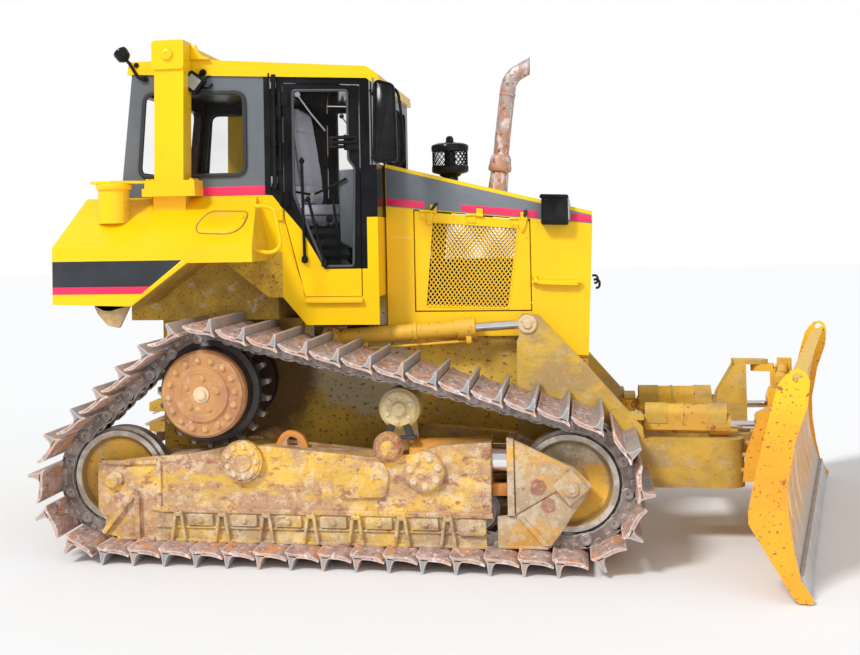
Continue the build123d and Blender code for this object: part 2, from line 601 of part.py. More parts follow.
def door_outline(grow=0):
    return [(DOOR_REAR_X - grow, 1822), (-868 - grow, DOOR_BOTTOM_Z + 14 - grow),
            (DOOR_FRONT_X - 18 + grow, DOOR_BOTTOM_Z + 14 - grow), (DOOR_FRONT_X - 18 + grow, 2560 + grow),
            (DOOR_REAR_X - grow, 2585 + grow)]


def door_window():
    return [(-925, 1951), (-756, 1545), (-590, 1545), (-575, 2100), (-610, 2141), (-610, 2535), (-925, 2545)]


def cab_door():
    y0, y1 = -CAB_HALF - 2, -CAB_HALF + CAB_WALL - 4
    shape = side_plate(door_outline(), y0, y1) - side_plate(door_window(), y0 - 1, y1 + 1, 14)
    for z in DOOR_HINGES_Z:
        low, high = z - KNUCKLE / 2, z + KNUCKLE / 2
        shape += box(HINGE_X, DOOR_REAR_X + 30, y0 - 14, y0, low, high)
        shape += rod((HINGE_X, -CAB_HALF - HINGE_OUT, low), (HINGE_X, -CAB_HALF - HINGE_OUT, high), 11)
    shape += rod((-700, y0 - 26, 2240), (-560, y0 - 26, 2240), 12)
    for x in (-700, -560):
        shape += rod((x, y0 - 28, 2240), (x, y0, 2240), 12)
    return shape


def door_glass():
    return side_plate(door_window(), -CAB_HALF + 14, -CAB_HALF + 20, 14)


def operator_seat():
    cushion = fillet(box(-1120, -700, -250, 250, 1780, 1900).edges(), 30)
    back = fillet((Pos(-1010, 0, 2200) * Rot(0, -8, 0) * Box(110, 460, 640)).edges(), 40)
    return cushion + back + box(-1050, -760, -180, 180, CAB_FLOOR_Z + 30 + FIT, 1785)


def console():
    dash = side_plate([(-650, CAB_FLOOR_Z + 30 + FIT), (CAB_FRONT_X - CAB_WALL - FIT, CAB_FLOOR_Z + 30 + FIT),
                       (CAB_FRONT_X - CAB_WALL - FIT, 2040), (-560, 2120), (-640, 2110)], -330, 330)
    return dash


def rops_frame():
    """Two posts on bolted foot flanges, a cross beam over the cab and the caps at its ends."""
    foot_z = TANK_TOP_Z + FIT
    inner, outer = CAB_HALF + 20, CAB_HALF + 20 + POST_WIDE
    shape = box(POST_REAR_X + 24, POST_FRONT_X - 6, -inner, inner, POST_TOP_Z - 80, POST_TOP_Z - 8)
    for side in (-1, 1):
        y0, y1 = sorted((side * inner, side * outer))
        shape += side_plate([(POST_REAR_X, foot_z + 2 * FLANGE), (POST_FRONT_X, foot_z + 2 * FLANGE),
                             (POST_FRONT_X + 12, POST_TOP_Z), (POST_REAR_X + 11, POST_TOP_Z)], y0, y1)
        y0, y1 = sorted((side * (CAB_HALF + 4), side * (outer + 6)))
        shape += box(FLANGE_X[0], FLANGE_X[1], y0, y1, foot_z, foot_z + FLANGE)
        shape += box(FLANGE_X[0] + 16, FLANGE_X[1] - 2, y0, y1, foot_z + FLANGE, foot_z + 2 * FLANGE)
        cap = side_plate([(POST_REAR_X - 4, POST_TOP_Z - 164), (POST_FRONT_X + 14, POST_TOP_Z - 164),
                          (POST_FRONT_X + 14, POST_TOP_Z), (POST_REAR_X - 4, POST_TOP_Z)], outer - 1, outer + 14, 22)
        shape += cap if side > 0 else left_of(cap)
    return shape


# ---------------------------------------------------------------- tank and fenders
def fuel_tank():
    """Rear tank with its two side wings; the outer faces slope down over the tracks."""
    half = TANK_HALF
    inner = CAB_HALF + FIT
    over = TANK_TOP_Z + 100
    side_face = [(TANK_REAR_X, 1360), (-1773, 1348), (-1451, 1582), (TANK_FRONT_X, 1582), (TANK_FRONT_X, TANK_EDGE_Z),
                 (TANK_REAR_X, TANK_EDGE_Z)]
    lower = side_plate(side_face, -half, half) + box(-1939, -1053, -600, 600, CASE_TOP_Z + FIT, 1582)
    upper = cross_plate([(-half, TANK_EDGE_Z), (half, TANK_EDGE_Z), (inner, TANK_TOP_Z), (-inner, TANK_TOP_Z)],
                        TANK_REAR_X, TANK_FRONT_X)
    upper -= side_plate([(TANK_REAR_X - 90, TANK_EDGE_Z), (TANK_REAR_X, TANK_EDGE_Z), (TANK_REAR_X + 83, over),
                         (TANK_REAR_X - 90, over)], -half - 1, half + 1)
    upper -= side_plate([(TANK_FRONT_X + 80, TANK_EDGE_Z), (TANK_FRONT_X, TANK_EDGE_Z), (TANK_FRONT_X - 85, over),
                         (TANK_FRONT_X + 80, over)], -half - 1, half + 1)
    shape = lower + upper
    belly = [(x, z - FIT) for x, z in CAB_BELLY]
    shape -= side_plate([(CAB_REAR_X - FIT, over), (CAB_REAR_X - FIT, CAB_SILL_Z - FIT), *belly[::-1],
                         (TANK_FRONT_X + 81, CAB_FLOOR_Z - FIT), (TANK_FRONT_X + 81, over)], -inner, inner)
    for side in (-1, 1):
        y0, y1 = sorted((side * inner, side * (CAB_HALF + 115)))
        shape += box(FLANGE_X[0] + 45, FLANGE_X[1] - 74, y0, y1, TANK_TOP_Z - 120, TANK_TOP_Z)
    filler_y = -TANK_HALF + 220
    shape += Pos(-1935, filler_y, 1915) * Cylinder(88, 215)
    return shape + Pos(-1935, filler_y, 2015) * Cylinder(96, 30)


# ---------------------------------------------------------------- blade gear
def c_frame():
    """Two arms inside the tracks, a cross beam with its nose, the lift towers and the mast."""
    front_x = BEAM_FRONT_X
    shape = None
    for side in (-1, 1):
        arm = side_plate([(TRUNNION_X - 70, TRUNNION_Z - 60), (TRUNNION_X + 60, TRUNNION_Z - 95), (300, 350), (960, 314),
                          (front_x - 120, 314), (front_x - 120, 574), (960, 574), (300, 600),
                          (TRUNNION_X + 60, TRUNNION_Z + 95), (TRUNNION_X - 70, TRUNNION_Z + 60)], ARM_IN, ARM_OUT)
        arm += drum(TRUNNION_X, TRUNNION_Z, 100, ARM_IN, ARM_OUT)
        arm -= drum(TRUNNION_X, TRUNNION_Z, 45 + FIT, ARM_IN - 1, ARM_OUT + 1)
        tower = [(298, 560), (302, 1110), (314, 1140), (314, 1240), (332, 1262), (425, 1252), (687, 967),
                 (890, 732), (975, 640), (975, 560)]
        for y0, y1 in ((ARM_IN, ARM_IN + 20), (ARM_OUT - 20, ARM_OUT)):
            arm += side_plate(tower, y0, y1)
        arm += box(640, 700, ARM_IN, ARM_OUT, 590, 940)
        for z0, z1 in ((ANGLE_Z - 62, ANGLE_Z - 38), (ANGLE_Z + 38, ANGLE_Z + 62)):
            lug = plan_plate([(905, ARM_OUT - 4), (980, ARM_OUT - 4), (976, ANGLE_REAR[1] - 51),
                              (908, ANGLE_REAR[1] - 51)], z0, z1)
            arm += lug
        arm += rod((ANGLE_REAR[0], ANGLE_REAR[1], ANGLE_Z - 60), (ANGLE_REAR[0], ANGLE_REAR[1], ANGLE_Z + 60), 24)
        arm = arm if side > 0 else left_of(arm)
        shape = arm if shape is None else shape + arm
    beam = plan_plate([(front_x - 160, -ARM_OUT), (front_x, -ARM_OUT), (front_x, ARM_OUT), (front_x - 160, ARM_OUT)],
                      314, 574)
    corners = beam.edges().filter_by(Axis.Z).sort_by(Axis.X)[-2:]
    shape += fillet(corners, 110)
    shape += plan_plate([(front_x - 20, -170), (ANGLE_AXIS_X, -58), (ANGLE_AXIS_X, 58), (front_x - 20, 170)],
                        BALL_Z - 60, BALL_Z + 60)
    shape += Pos(ANGLE_AXIS_X, 0, BALL_Z) * Cylinder(60, 120)
    for y0, y1 in ((-86, -62), (62, 86)):
        shape += side_plate([(1408, 564), (1409, 706), (1423, 766), (1520, 931), (1583, 931), (1583, 564)], y0, y1)
    cap = plan_plate([(1519, -86), (ANGLE_AXIS_X, -50), (ANGLE_AXIS_X, 50), (1519, 86)], 931, 956)
    shape += cap + Pos(ANGLE_AXIS_X, 0, 943.5) * Cylinder(50, 25)
    return shape


def in_blade_frame(shape):
    """Turns a piece made for a straight blade, in X from the angle axis, to the parked angle."""
    return Pos(ANGLE_AXIS_X, 0, 0) * Rot(0, 0, -BLADE_ANGLE) * shape


def blade_yoke():
    """Hinged on the frame's nose and under the mast's cap; carries the blade's tilt bearing."""
    shape = box(66, 96, -110, 110, BALL_Z - 100, 905)
    for z0, z1 in ((BALL_Z - 100, BALL_Z - 60 - FIT), (BALL_Z + 60 + FIT, BALL_Z + 100)):
        shape += plan_plate([(0, -64), (80, -110), (80, 110), (0, 64)], z0, z1)
        shape += Pos(0, 0, (z0 + z1) / 2) * Cylinder(64, z1 - z0)
    shape += box(0, 80, -48, 48, 890, 931 - FIT) + rod((0, 0, 890), (0, 0, 931 - FIT), 48)
    for side in (-1, 1):
        y = side * ANGLE_PIN[1]
        for z0, z1 in ((ANGLE_Z - 62, ANGLE_Z - 32), (ANGLE_Z + 32, ANGLE_Z + 62)):
            shape += plan_plate([(104, side * 90), (60, side * 90), (4, y - side * 52), (4, y + side * 46),
                                 (104, y + side * 60)], z0, z1)
        shape += box(96, 104, min(side * 90, y + side * 60), max(side * 90, y + side * 60), ANGLE_Z - 62, ANGLE_Z + 62)
    shape += box(96, 176, 58, 80, 870, 960) + box(159, 176, -12, 80, 870, 960)
    shape += rod((90, TILT_REAR[1], TILT_REAR[2]), (170, TILT_REAR[1], TILT_REAR[2]), 16)
    return in_blade_frame(shape)


TILT_REAR = (131.0, 10.0, 915.0)      # pins of the tilt cylinder, from the angle axis
TILT_FRONT = (131.0, -560.0, 812.0)


def blade():
    """Curved mouldboard with its back boxes, ribs and end plates."""
    front = ThreePointArc((315, 0, 1030), (205, 0, 480), (285, 0, EDGE_BACK_Z))
    back = ThreePointArc((290, 0, 1030), (180, 0, 480), (260, 0, EDGE_BACK_Z))
    sheet = make_face(Wire([front, Line((285, 0, EDGE_BACK_Z), (260, 0, EDGE_BACK_Z)), back,
                            Line((290, 0, 1030), (315, 0, 1030))]))
    right, left = BLADE_SHIFT - BLADE_HALF, BLADE_SHIFT + BLADE_HALF
    shape = Pos(0, right, 0) * extrude(sheet, amount=2 * BLADE_HALF, dir=(0, 1, 0))
    low = side_plate([(262, 62), (195, 420), (170, 420), (112, 375), (100, 350), (225, 62)], right + 20, left - 20)
    top_box = [(295, 1020), (215, 700), (198, 640), (160, 660), (160, 760), (215, 960), (245, 1020)]
    top = side_plate(top_box, right + 20, left - 20)
    shape += low - top
    shape += top - box(90, 207, -700, 700, 565, 985)
    end = [(251, 1059), (222, 1030), (196, 993), (162, 881), (87, 589), (50, 410), (50, 350), (236, 30), (262, 6),
           (318, 6), (323, 32), (273, 110), (246, 246), (228, 402), (228, 540), (268, 745), (324, 904), (335, 1015),
           (322, 1052), (290, 1072)]
    for y0 in (right, left - 26):
        plate = side_plate(end, y0, y0 + 26)
        shape += plate - drum(*END_EYE, 24, y0 - 1, y0 + 27)
    for side in (-1, 1):
        y = side * RIB_Y
        rib = side_plate([(-44, 381), (-25, 532), (31, 695), (53, 749), (170, 750), (190, 500), (120, 395)], y - 15, y + 15)
        shape += rib
    shape += rod((96 + FIT, 0, BALL_Z), (190, 0, BALL_Z), 95)
    y, z = TILT_FRONT[1], TILT_FRONT[2]
    for x0, x1 in ((82, 101), (161, 180)):
        shape += box(x0, x1, y - 84, y + 40, z - 45, z + 45)
    shape += box(82, 215, y - 84, y - 64, z - 45, z + 45) + box(170, 235, y - 84, y + 40, z - 45, z + 45)
    return in_blade_frame(shape)


def cutting_edge():
    shape = side_plate([(285 + FIT, EDGE_BACK_Z), (265, 120), (285, 126), (309, 20), (303, 8), (281, 8),
                        (261, EDGE_BACK_Z - FIT), (285 + FIT, EDGE_BACK_Z - FIT)],
                       BLADE_SHIFT - BLADE_HALF + 26 + FIT, BLADE_SHIFT + BLADE_HALF - 26 - FIT)
    return in_blade_frame(shape)


GLAND = 30.0                   # closed end of a cylinder barrel, round the rod
PISTON = 22.0


def cylinder_barrel(start, end, pin_r, barrel_r, eye_r, eye_half, eye_axis, length, rod_r):
    """Barrel of a hydraulic cylinder; length runs from its rear pin to the gland's face."""
    a, b = Vector(*start), Vector(*end)
    u = (b - a).normalized()
    shape = rod(tuple(a + u * (eye_r - 4)), tuple(a + u * (length - 110)), barrel_r)
    shape += rod(tuple(a + u * (length - 112)), tuple(a + u * length), barrel_r + 9)
    half = Vector(*eye_axis) * eye_half
    shape += rod(tuple(a - half), tuple(a + half), eye_r)
    shape -= rod(tuple(a - half * 1.2), tuple(a + half * 1.2), pin_r + FIT)
    shape -= rod(tuple(a + u * (eye_r + 8)), tuple(a + u * (length - GLAND)), barrel_r - 14)
    return shape - rod(tuple(a + u * (length - GLAND - 1)), tuple(a + u * (length + 1)), rod_r + FIT)


def cylinder_rod(start, end, rod_r, eye_r, eye_half, eye_axis, piston_at, piston_r):
    """Rod from its piston, that far from the rear pin, to the eye at its end."""
    a, b = Vector(*start), Vector(*end)
    u = (b - a).normalized()
    shape = rod(tuple(a + u * piston_at), tuple(b - u * (eye_r - 8)), rod_r)
    shape += rod(tuple(a + u * piston_at), tuple(a + u * (piston_at + PISTON)), piston_r)
    half = Vector(*eye_axis) * eye_half
    return shape + rod(tuple(b - half), tuple(b + half), eye_r)


def lift_cylinder():
    start = (LIFT_REAR[0], -LIFT_Y, LIFT_REAR[1])
    end = (LIFT_FRONT[0], -LIFT_Y, LIFT_FRONT[1])
    barrel = cylinder_barrel(start, end, 32, 48, 62, 40, (0, 1, 0), 822, 26)
    return barrel, cylinder_rod(start, end, 26, 50, 26, (0, 1, 0), 600, 33.7)


def angle_pin(side):
    """Centre of the front pin of an angle cylinder in the parked yoke."""
    turn = radians(-BLADE_ANGLE)
    x, y = ANGLE_PIN[0], side * ANGLE_PIN[1]
    return Vector(ANGLE_AXIS_X + x * cos(turn) - y * sin(turn), x * sin(turn) + y * cos(turn), ANGLE_Z)


ANGLE_BARREL = 511.0           # rear pin to the gland's face
ANGLE_ROD = 508.0              # back of the piston to the rod's eye
GUARD_R = 55.0                 # cover over the barrel, and how it sits from the rear pin
GUARD_RISE = 56.0
GUARD_START, GUARD_LONG = 60.0, 430.0


def angle_cylinder(side):
    start, end = (ANGLE_REAR[0], side * ANGLE_REAR[1], ANGLE_Z), tuple(angle_pin(side))
    barrel = cylinder_barrel(start, end, 24, 50, 52, 32, (0, 0, 1), ANGLE_BARREL, 22)
    piston_at = (Vector(*end) - Vector(*start)).length - ANGLE_ROD
    return barrel, cylinder_rod(start, end, 22, 36, 24, (0, 0, 1), piston_at, 35.7)


def angle_guard(side):
    """Half-round cover that rides on an angle cylinder's barrel."""
    start, end = Vector(ANGLE_REAR[0], side * ANGLE_REAR[1], ANGLE_Z), angle_pin(side)
    along = (end - start).normalized()
    plane = Plane(origin=start + along * GUARD_START, x_dir=(-along.Y, along.X, 0), z_dir=along)
    crown = 54.0
    solid = Pos(0, GUARD_RISE, 0) * Cylinder(GUARD_R, GUARD_LONG, align=(Align.CENTER, Align.CENTER, Align.MIN))
    inner = GUARD_R - 8
    hollow = Pos(0, GUARD_RISE, -1) * Cylinder(inner, GUARD_LONG + 2, align=(Align.CENTER, Align.CENTER, Align.MIN))
    legs = Pos(0, GUARD_RISE / 2 - crown / 4, 0) * Box(2 * GUARD_R, GUARD_RISE + crown / 2, GUARD_LONG,
                                                       align=(Align.CENTER, Align.CENTER, Align.MIN))
    room = Pos(0, GUARD_RISE / 2 - crown / 4, -1) * Box(2 * inner, GUARD_RISE + crown / 2 + 2, GUARD_LONG + 2,
                                                        align=(Align.CENTER, Align.CENTER, Align.MIN))
    return plane * ((solid + legs) - (hollow + room))


def tilt_cylinder():
    barrel = cylinder_barrel(TILT_REAR, TILT_FRONT, 16, 30, 34, 24, (1, 0, 0), 340, 13)
    piston = cylinder_rod(TILT_REAR, TILT_FRONT, 13, 30, 20, (1, 0, 0), 180, 15.7)
    return in_blade_frame(barrel), in_blade_frame(piston)


def equalizer_bar():
    """Cross bar through the main frame, pinned to a boss of each track frame."""
    half = TRACK_Y - FRAME_HALF - SKIRT - FIT
    return box(EQUALIZER_X - 55, EQUALIZER_X + 55, -half, half, EQUALIZER_Z - 45, EQUALIZER_Z + 45)


DRAWBAR_END_X = -2000.0


def drawbar():
    shape = box(DRAWBAR_END_X, TAIL_X - FIT, -110, 110, 520, 700) - box(DRAWBAR_END_X - 1, TAIL_X - 40, -111, 111, 575, 645)
    shape += box(TAIL_X - 40, TAIL_X - FIT, -200, 200, 470, 760)
    return shape - Pos(TAIL_X - 120, 0, 600) * Cylinder(26, 400)


def mirrors():
    shapes = []
    for side in (-1, 1):
        y = side * (CAB_HALF + 80)
        glass = fillet(box(-440, -405, y - 85, y + 85, 2150, 2560).edges(), 14)
        arm = rod((-425, y, 2520), (-425, side * (CAB_HALF - 40), 2520), 9)
        arm += rod((-425, side * (CAB_HALF - 40), 2520), (CAB_FRONT_X + FIT, side * (CAB_HALF - 40), 2520), 12)
        shapes.append(glass + arm)
    return Compound(shapes)


def grab_handles():
    shapes = []
    for side in (-1, 1):
        y = side * (TANK_HALF - 120)
        bar = rod((-985, y, 1640), (-985, y, 1860), 12)
        for z in (1640, 1860):
            back = -1081 if z < TANK_EDGE_Z else -1081 - (z - TANK_EDGE_Z) * 62 / 274
            bar += rod((-985, y, z), (back + FIT, y, z), 12)
        shapes.append(bar)
    return Compound(shapes)


def main():
    save(c_frame(), "c_frame")
    save(blade_yoke(), "blade_yoke")
    save(blade(), "blade")
    save(cutting_edge(), "cutting_edge")
    barrel, piston = lift_cylinder()
    save_pair(barrel, "lift_barrel")
    save_pair(piston, "lift_rod")
    for side, name in ((-1, "right"), (1, "left")):
        barrel, piston = angle_cylinder(side)
        save(barrel + angle_guard(side), "angle_barrel_" + name)
        save(piston, "angle_rod_" + name)
    barrel, piston = tilt_cylinder()
    save(barrel, "tilt_barrel")
    save(piston, "tilt_rod")
    save_pair(track(), "track")
    save_pair(sprocket(), "sprocket")
    save_pair(final_drive(), "final_drive")
    save_pair(idlers(), "idlers")
    save_pair(rollers(), "rollers")
    save_pair(track_frame(), "track_frame")
    save_pair(roller_guard(), "roller_guard")
    save_pair(idler_yoke(), "idler_yoke")
    save_pair(carrier_roller(), "carrier_roller")
    save(main_frame(), "main_frame")
    save(engine_block(), "engine_block")
    save(radiator_guard(), "radiator_guard")
    save(hood(), "hood")
    save_pair(side_panels(), "side_panels")
    save_pair(grille_door(), "grille_door")
    save(precleaner(), "precleaner")
    save(exhaust(), "exhaust")
    save(work_lamps(), "work_lamps")
    save(cab_shell(), "cab_shell")
    save(cab_roof(), "cab_roof")
    save(cab_glass(), "cab_glass")
    save_pair(cab_door(), "cab_door")
    save_pair(door_glass(), "door_glass")
    save(operator_seat(), "operator_seat")
    save(console(), "console")
    save(rops_frame(), "rops_frame")
    save(fuel_tank(), "fuel_tank")
    save(equalizer_bar(), "equalizer_bar")
    save(drawbar(), "drawbar")
    save(mirrors(), "mirrors")
    save(grab_handles(), "grab_handles")


main()
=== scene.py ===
"""Finishes and small parts of a crawler bulldozer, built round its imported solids.

Metres. +X is the driving direction, +Y the left side, +Z up, and the ground is Z = 0.
"""
from math import cos, pi, radians, sin

import bmesh
import bpy
import numpy as np
from mathutils import Matrix, Vector


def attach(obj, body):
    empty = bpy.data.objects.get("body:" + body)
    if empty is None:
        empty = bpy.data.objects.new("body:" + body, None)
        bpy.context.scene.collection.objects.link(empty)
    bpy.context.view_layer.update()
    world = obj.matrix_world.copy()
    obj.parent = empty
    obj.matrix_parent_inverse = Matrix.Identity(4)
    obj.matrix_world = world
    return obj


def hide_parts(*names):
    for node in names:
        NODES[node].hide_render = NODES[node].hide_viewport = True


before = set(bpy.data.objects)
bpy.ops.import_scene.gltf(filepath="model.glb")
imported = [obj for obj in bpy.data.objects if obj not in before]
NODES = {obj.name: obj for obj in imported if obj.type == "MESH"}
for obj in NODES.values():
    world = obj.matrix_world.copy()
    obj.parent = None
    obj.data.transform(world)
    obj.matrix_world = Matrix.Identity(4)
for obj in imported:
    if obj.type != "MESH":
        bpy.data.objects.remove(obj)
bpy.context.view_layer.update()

# ---------------------------------------------------------------- camera, light and floor
CAMERA_PLACE = Vector((0.6536, -8.2482, 1.7061))
CAMERA_YAW = 10.78             # degrees that the view turns from +Y towards -X
CAMERA_RISE = 1.85             # degrees that it looks up
CAMERA_ROLL = 1.03
FOCAL, SENSOR = 56.77, 36.0
IMAGE_WIDE, IMAGE_HIGH = 860.0, 655.0
CENTRE_U, CENTRE_V = 319.46, 193.97
VIEW_END = 200.0
SKY, SKY_STRENGTH = (0.96, 0.98, 1.0, 1), 0.62
SUNS = (("key", 2.3, 12, (0.42, 0.72, -0.75)),     # name, strength, width in degrees, direction of its light
        ("fill", 0.7, 60, (-0.5, 0.8, -0.2)))
FLOOR_HALF, FLOOR_Z = 60.0, -0.001
FLOOR_TONE = (0.86, 0.86, 0.86, 1)


def place_camera():
    """Level axes turned by the yaw, raised, rolled about the view and moved to the camera's place."""
    yaw, rise, roll = (radians(v) for v in (CAMERA_YAW, CAMERA_RISE, CAMERA_ROLL))
    level = Vector((-sin(yaw), cos(yaw), 0))
    right = Vector((cos(yaw), sin(yaw), 0))
    ahead = level * cos(rise) + Vector((0, 0, 1)) * sin(rise)
    up = Vector((0, 0, 1)) * cos(rise) - level * sin(rise)
    turned_right = right * cos(roll) - up * sin(roll)
    turned_up = up * cos(roll) + right * sin(roll)
    data = bpy.data.cameras.new("view")
    data.sensor_width, data.lens, data.clip_end = SENSOR, FOCAL, VIEW_END
    data.shift_x = (IMAGE_WIDE / 2 - CENTRE_U) / IMAGE_WIDE
    data.shift_y = (CENTRE_V - IMAGE_HIGH / 2) / IMAGE_WIDE
    camera = bpy.data.objects.new("view", data)
    bpy.context.scene.collection.objects.link(camera)
    turn = Matrix((turned_right, turned_up, -ahead)).transposed().to_4x4()
    camera.matrix_world = Matrix.Translation(CAMERA_PLACE) @ turn
    bpy.context.scene.camera = camera


def light_scene():
    """Two soft suns and a pale sky, which is plain white where the camera or clear glass sees it."""
    scene = bpy.context.scene
    scene.view_settings.view_transform = "Standard"
    scene.world = bpy.data.worlds.new("pale_room")
    scene.world.use_nodes = True
    nodes, links = scene.world.node_tree.nodes, scene.world.node_tree.links
    path, either = nodes.new("ShaderNodeLightPath"), nodes.new("ShaderNodeMath")
    sky, seen = nodes["Background"], nodes.new("ShaderNodeBackground")
    mix = nodes.new("ShaderNodeMixShader")
    for shader, tone, strength in ((sky, SKY, SKY_STRENGTH), (seen, (1, 1, 1, 1), 1.0)):
        shader.inputs["Color"].default_value = tone
        shader.inputs["Strength"].default_value = strength
    either.operation = "MAXIMUM"
    for outlet, inlet in ((path.outputs["Is Camera Ray"], either.inputs[0]),
                          (path.outputs["Is Transmission Ray"], either.inputs[1]),
                          (either.outputs[0], mix.inputs[0]), (sky.outputs[0], mix.inputs[1]),
                          (seen.outputs[0], mix.inputs[2]),
                          (mix.outputs[0], nodes["World Output"].inputs["Surface"])):
        links.new(outlet, inlet)
    for name, strength, angle, direction in SUNS:
        data = bpy.data.lights.new(name, "SUN")
        data.energy, data.angle = strength, radians(angle)
        lamp = bpy.data.objects.new(name, data)
        lamp.matrix_world = Vector(direction).to_track_quat("-Z", "Y").to_matrix().to_4x4()
        scene.collection.objects.link(lamp)


def lay_floor():
    """A wide square just under the tracks."""
    h = FLOOR_HALF
    mesh = bpy.data.meshes.new("floor")
    mesh.from_pydata([(x, y, FLOOR_Z) for x, y in ((-h, -h), (h, -h), (h, h), (-h, h))], [], [(0, 1, 2, 3)])
    floor = bpy.data.objects.new("floor", mesh)
    bpy.context.scene.collection.objects.link(floor)
    f = Finish("pale_floor")
    f.shader.inputs["Base Color"].default_value = FLOOR_TONE
    f.shader.inputs["Roughness"].default_value = 0.9
    mesh.materials.append(f.material)


# ---------------------------------------------------------------- finishes
YELLOW = (0.96, 0.60, 0.004)
DEEP_YELLOW = (0.84, 0.43, 0.008)
RUST = (0.30, 0.085, 0.030)
DARK_RUST = (0.11, 0.040, 0.028)
ORANGE_RUST = (0.62, 0.24, 0.08)
MAROON = (0.33, 0.15, 0.11)
DUST = (0.52, 0.33, 0.20)
PALE_DUST = (0.72, 0.60, 0.45)
STRIPE_RED = (0.78, 0.02, 0.10)
OIL = (0.14, 0.055, 0.02)
EVEN = (1, 1, 1)
WIDE_GRAIN = (1, 0.4, 1)       # noise drawn out along the shoes
UPRIGHT_GRAIN = (1, 1, 0.10)   # noise drawn out up the blade
HUB_PLACE = (-1.333, 0.885)
IDLER_PLACES = ((0.579, 0.416), (-1.855, 0.416))
SILL_LINE = [(-1.055, 1.954), (-0.890, 1.758), (-0.756, 1.529), (-0.5115, 1.529), (-0.5110, 1.818)]


class Finish:
    """One material and short calls that add shader nodes to it; patterns read Object coordinates."""

    def __init__(self, name):
        """A new material with its shader, and the piece's own place and normal."""
        self.material = bpy.data.materials.new(name)
        self.material.use_nodes = True
        tree = self.material.node_tree
        self.nodes, self.links, self.shader = tree.nodes, tree.links, tree.nodes["Principled BSDF"]
        own = self.add("TexCoord")
        self.place, self.own_normal = own.outputs["Object"], own.outputs["Normal"]

    def add(self, kind, inputs=()):
        """A node of a kind, its inputs linked or set."""
        node = self.nodes.new("ShaderNode" + kind)
        for socket, value in inputs:
            self.feed(node, socket, value)
        return node

    def feed(self, node, socket, value):
        """Links an output to a socket, or sets a number or colour on it."""
        if hasattr(value, "is_output"):
            self.links.new(value, node.inputs[socket])
        else:
            node.inputs[socket].default_value = value

    def noise(self, scale, detail=3.0, shift=0.0, rough=0.55, stretch=EVEN):
        """Fractal noise from 0 to 1, moved by shift and drawn out along the axes by stretch."""
        mapping = self.add("Mapping", (("Vector", self.place), ("Scale", stretch),
                                       ("Location", (shift, shift * 1.7, -shift))))
        node = self.add("TexNoise", (("Vector", mapping.outputs[0]), ("Scale", scale), ("Detail", detail),
                                     ("Roughness", rough)))
        return node.outputs["Fac"]

    def step(self, value, low, high, out_low=0.0, out_high=1.0):
        """A smooth rise from out_low to out_high as value goes from low to high."""
        node = self.add("MapRange", (("Value", value), ("From Min", low), ("From Max", high), ("To Min", out_low),
                                     ("To Max", out_high)))
        node.interpolation_type = "SMOOTHSTEP"
        return node.outputs["Result"]

    def patch(self, low, high, *grain):
        """Patches of noise(*grain): 0 under low, 1 over high."""
        return self.step(self.noise(*grain), low, high)

    def math(self, operation, first, second=0.0):
        """One operation on two numbers."""
        node = self.add("Math", ((0, first), (1, second)))
        node.operation = operation
        return node.outputs[0]

    def times(self, first, second):
        """Product of two numbers."""
        return self.math("MULTIPLY", first, second)

    def plus(self, first, second):
        """Sum of two numbers."""
        return self.math("ADD", first, second)

    def under(self, value, limit):
        """1 where value is less than limit."""
        return self.math("LESS_THAN", value, limit)

    def mix(self, share, first, second):
        """One colour turned to another by share."""
        node = self.nodes.new("ShaderNodeMix")
        node.data_type = "RGBA"
        self.feed(node, 0, share)
        for socket, tone in ((6, first), (7, second)):
            self.feed(node, socket, tone if hasattr(tone, "is_output") else (*tone, 1))
        return node.outputs[2]

    def layers(self, colour, rows):
        """Patches of tone laid over a colour in turn, by rows (tone, share, low, high, and noise's own values)."""
        for tone, share, low, high, *grain in rows:
            mask = self.patch(low, high, *grain)
            colour = self.mix(mask if share == 1 else self.times(mask, share), colour, tone)
        return colour

    def axis(self, index):
        """The place along one axis, in metres."""
        return self.add("SeparateXYZ", ((0, self.place),)).outputs[index]

    def radius(self, x, z):
        """Distance from an axis that runs across the machine at x, z, in metres."""
        along = self.math("SUBTRACT", self.axis(0), x)
        up = self.math("SUBTRACT", self.axis(2), z)
        return self.math("SQRT", self.plus(self.times(along, along), self.times(up, up)))

    def below(self, line):
        """1 under a line of (x, z) corners, 0 over it; past its ends the line goes on level."""
        x, z = self.axis(0), self.axis(2)
        height = line[0][1]
        for (x0, z0), (x1, z1) in zip(line, line[1:]):
            share = self.add("MapRange", (("Value", x), ("From Min", x0), ("From Max", x1), ("To Min", 0.0),
                                          ("To Max", z1 - z0)))
            height = self.plus(share.outputs["Result"], height)
        return self.under(z, height)

    def dot(self, first, second):
        """How far two directions agree."""
        node = self.add("VectorMath", ((0, first), (1, second)))
        node.operation = "DOT_PRODUCT"
        return node.outputs["Value"]

    def facing(self, direction, low, high):
        """1 where the piece's own surface faces a direction."""
        return self.step(self.dot(self.own_normal, direction), low, high)

    def worn_and_lit_edges(self, radius, low, high, *grain):
        """1 in patches along edges, where the surface turns within radius: edge wear, partly a painted highlight."""
        bevel = self.add("Bevel", (("Radius", radius),))
        bevel.samples = 4
        plain = self.add("NewGeometry")
        turn = self.step(self.dot(bevel.outputs[0], plain.outputs["Normal"]), 0.99, 0.80)
        return self.times(turn, self.patch(low, high, *grain))

    def bump(self, height, strength, distance=0.002):
        """Relief of the shader's normal."""
        node = self.add("Bump", (("Strength", strength), ("Distance", distance), ("Height", height)))
        self.links.new(node.outputs[0], self.shader.inputs["Normal"])

    def surface(self, colour, rough, metal=0.0):
        """The shader's colour, roughness and metal."""
        self.feed(self.shader, "Base Color", colour)
        self.feed(self.shader, "Roughness", rough)
        self.feed(self.shader, "Metallic", metal)

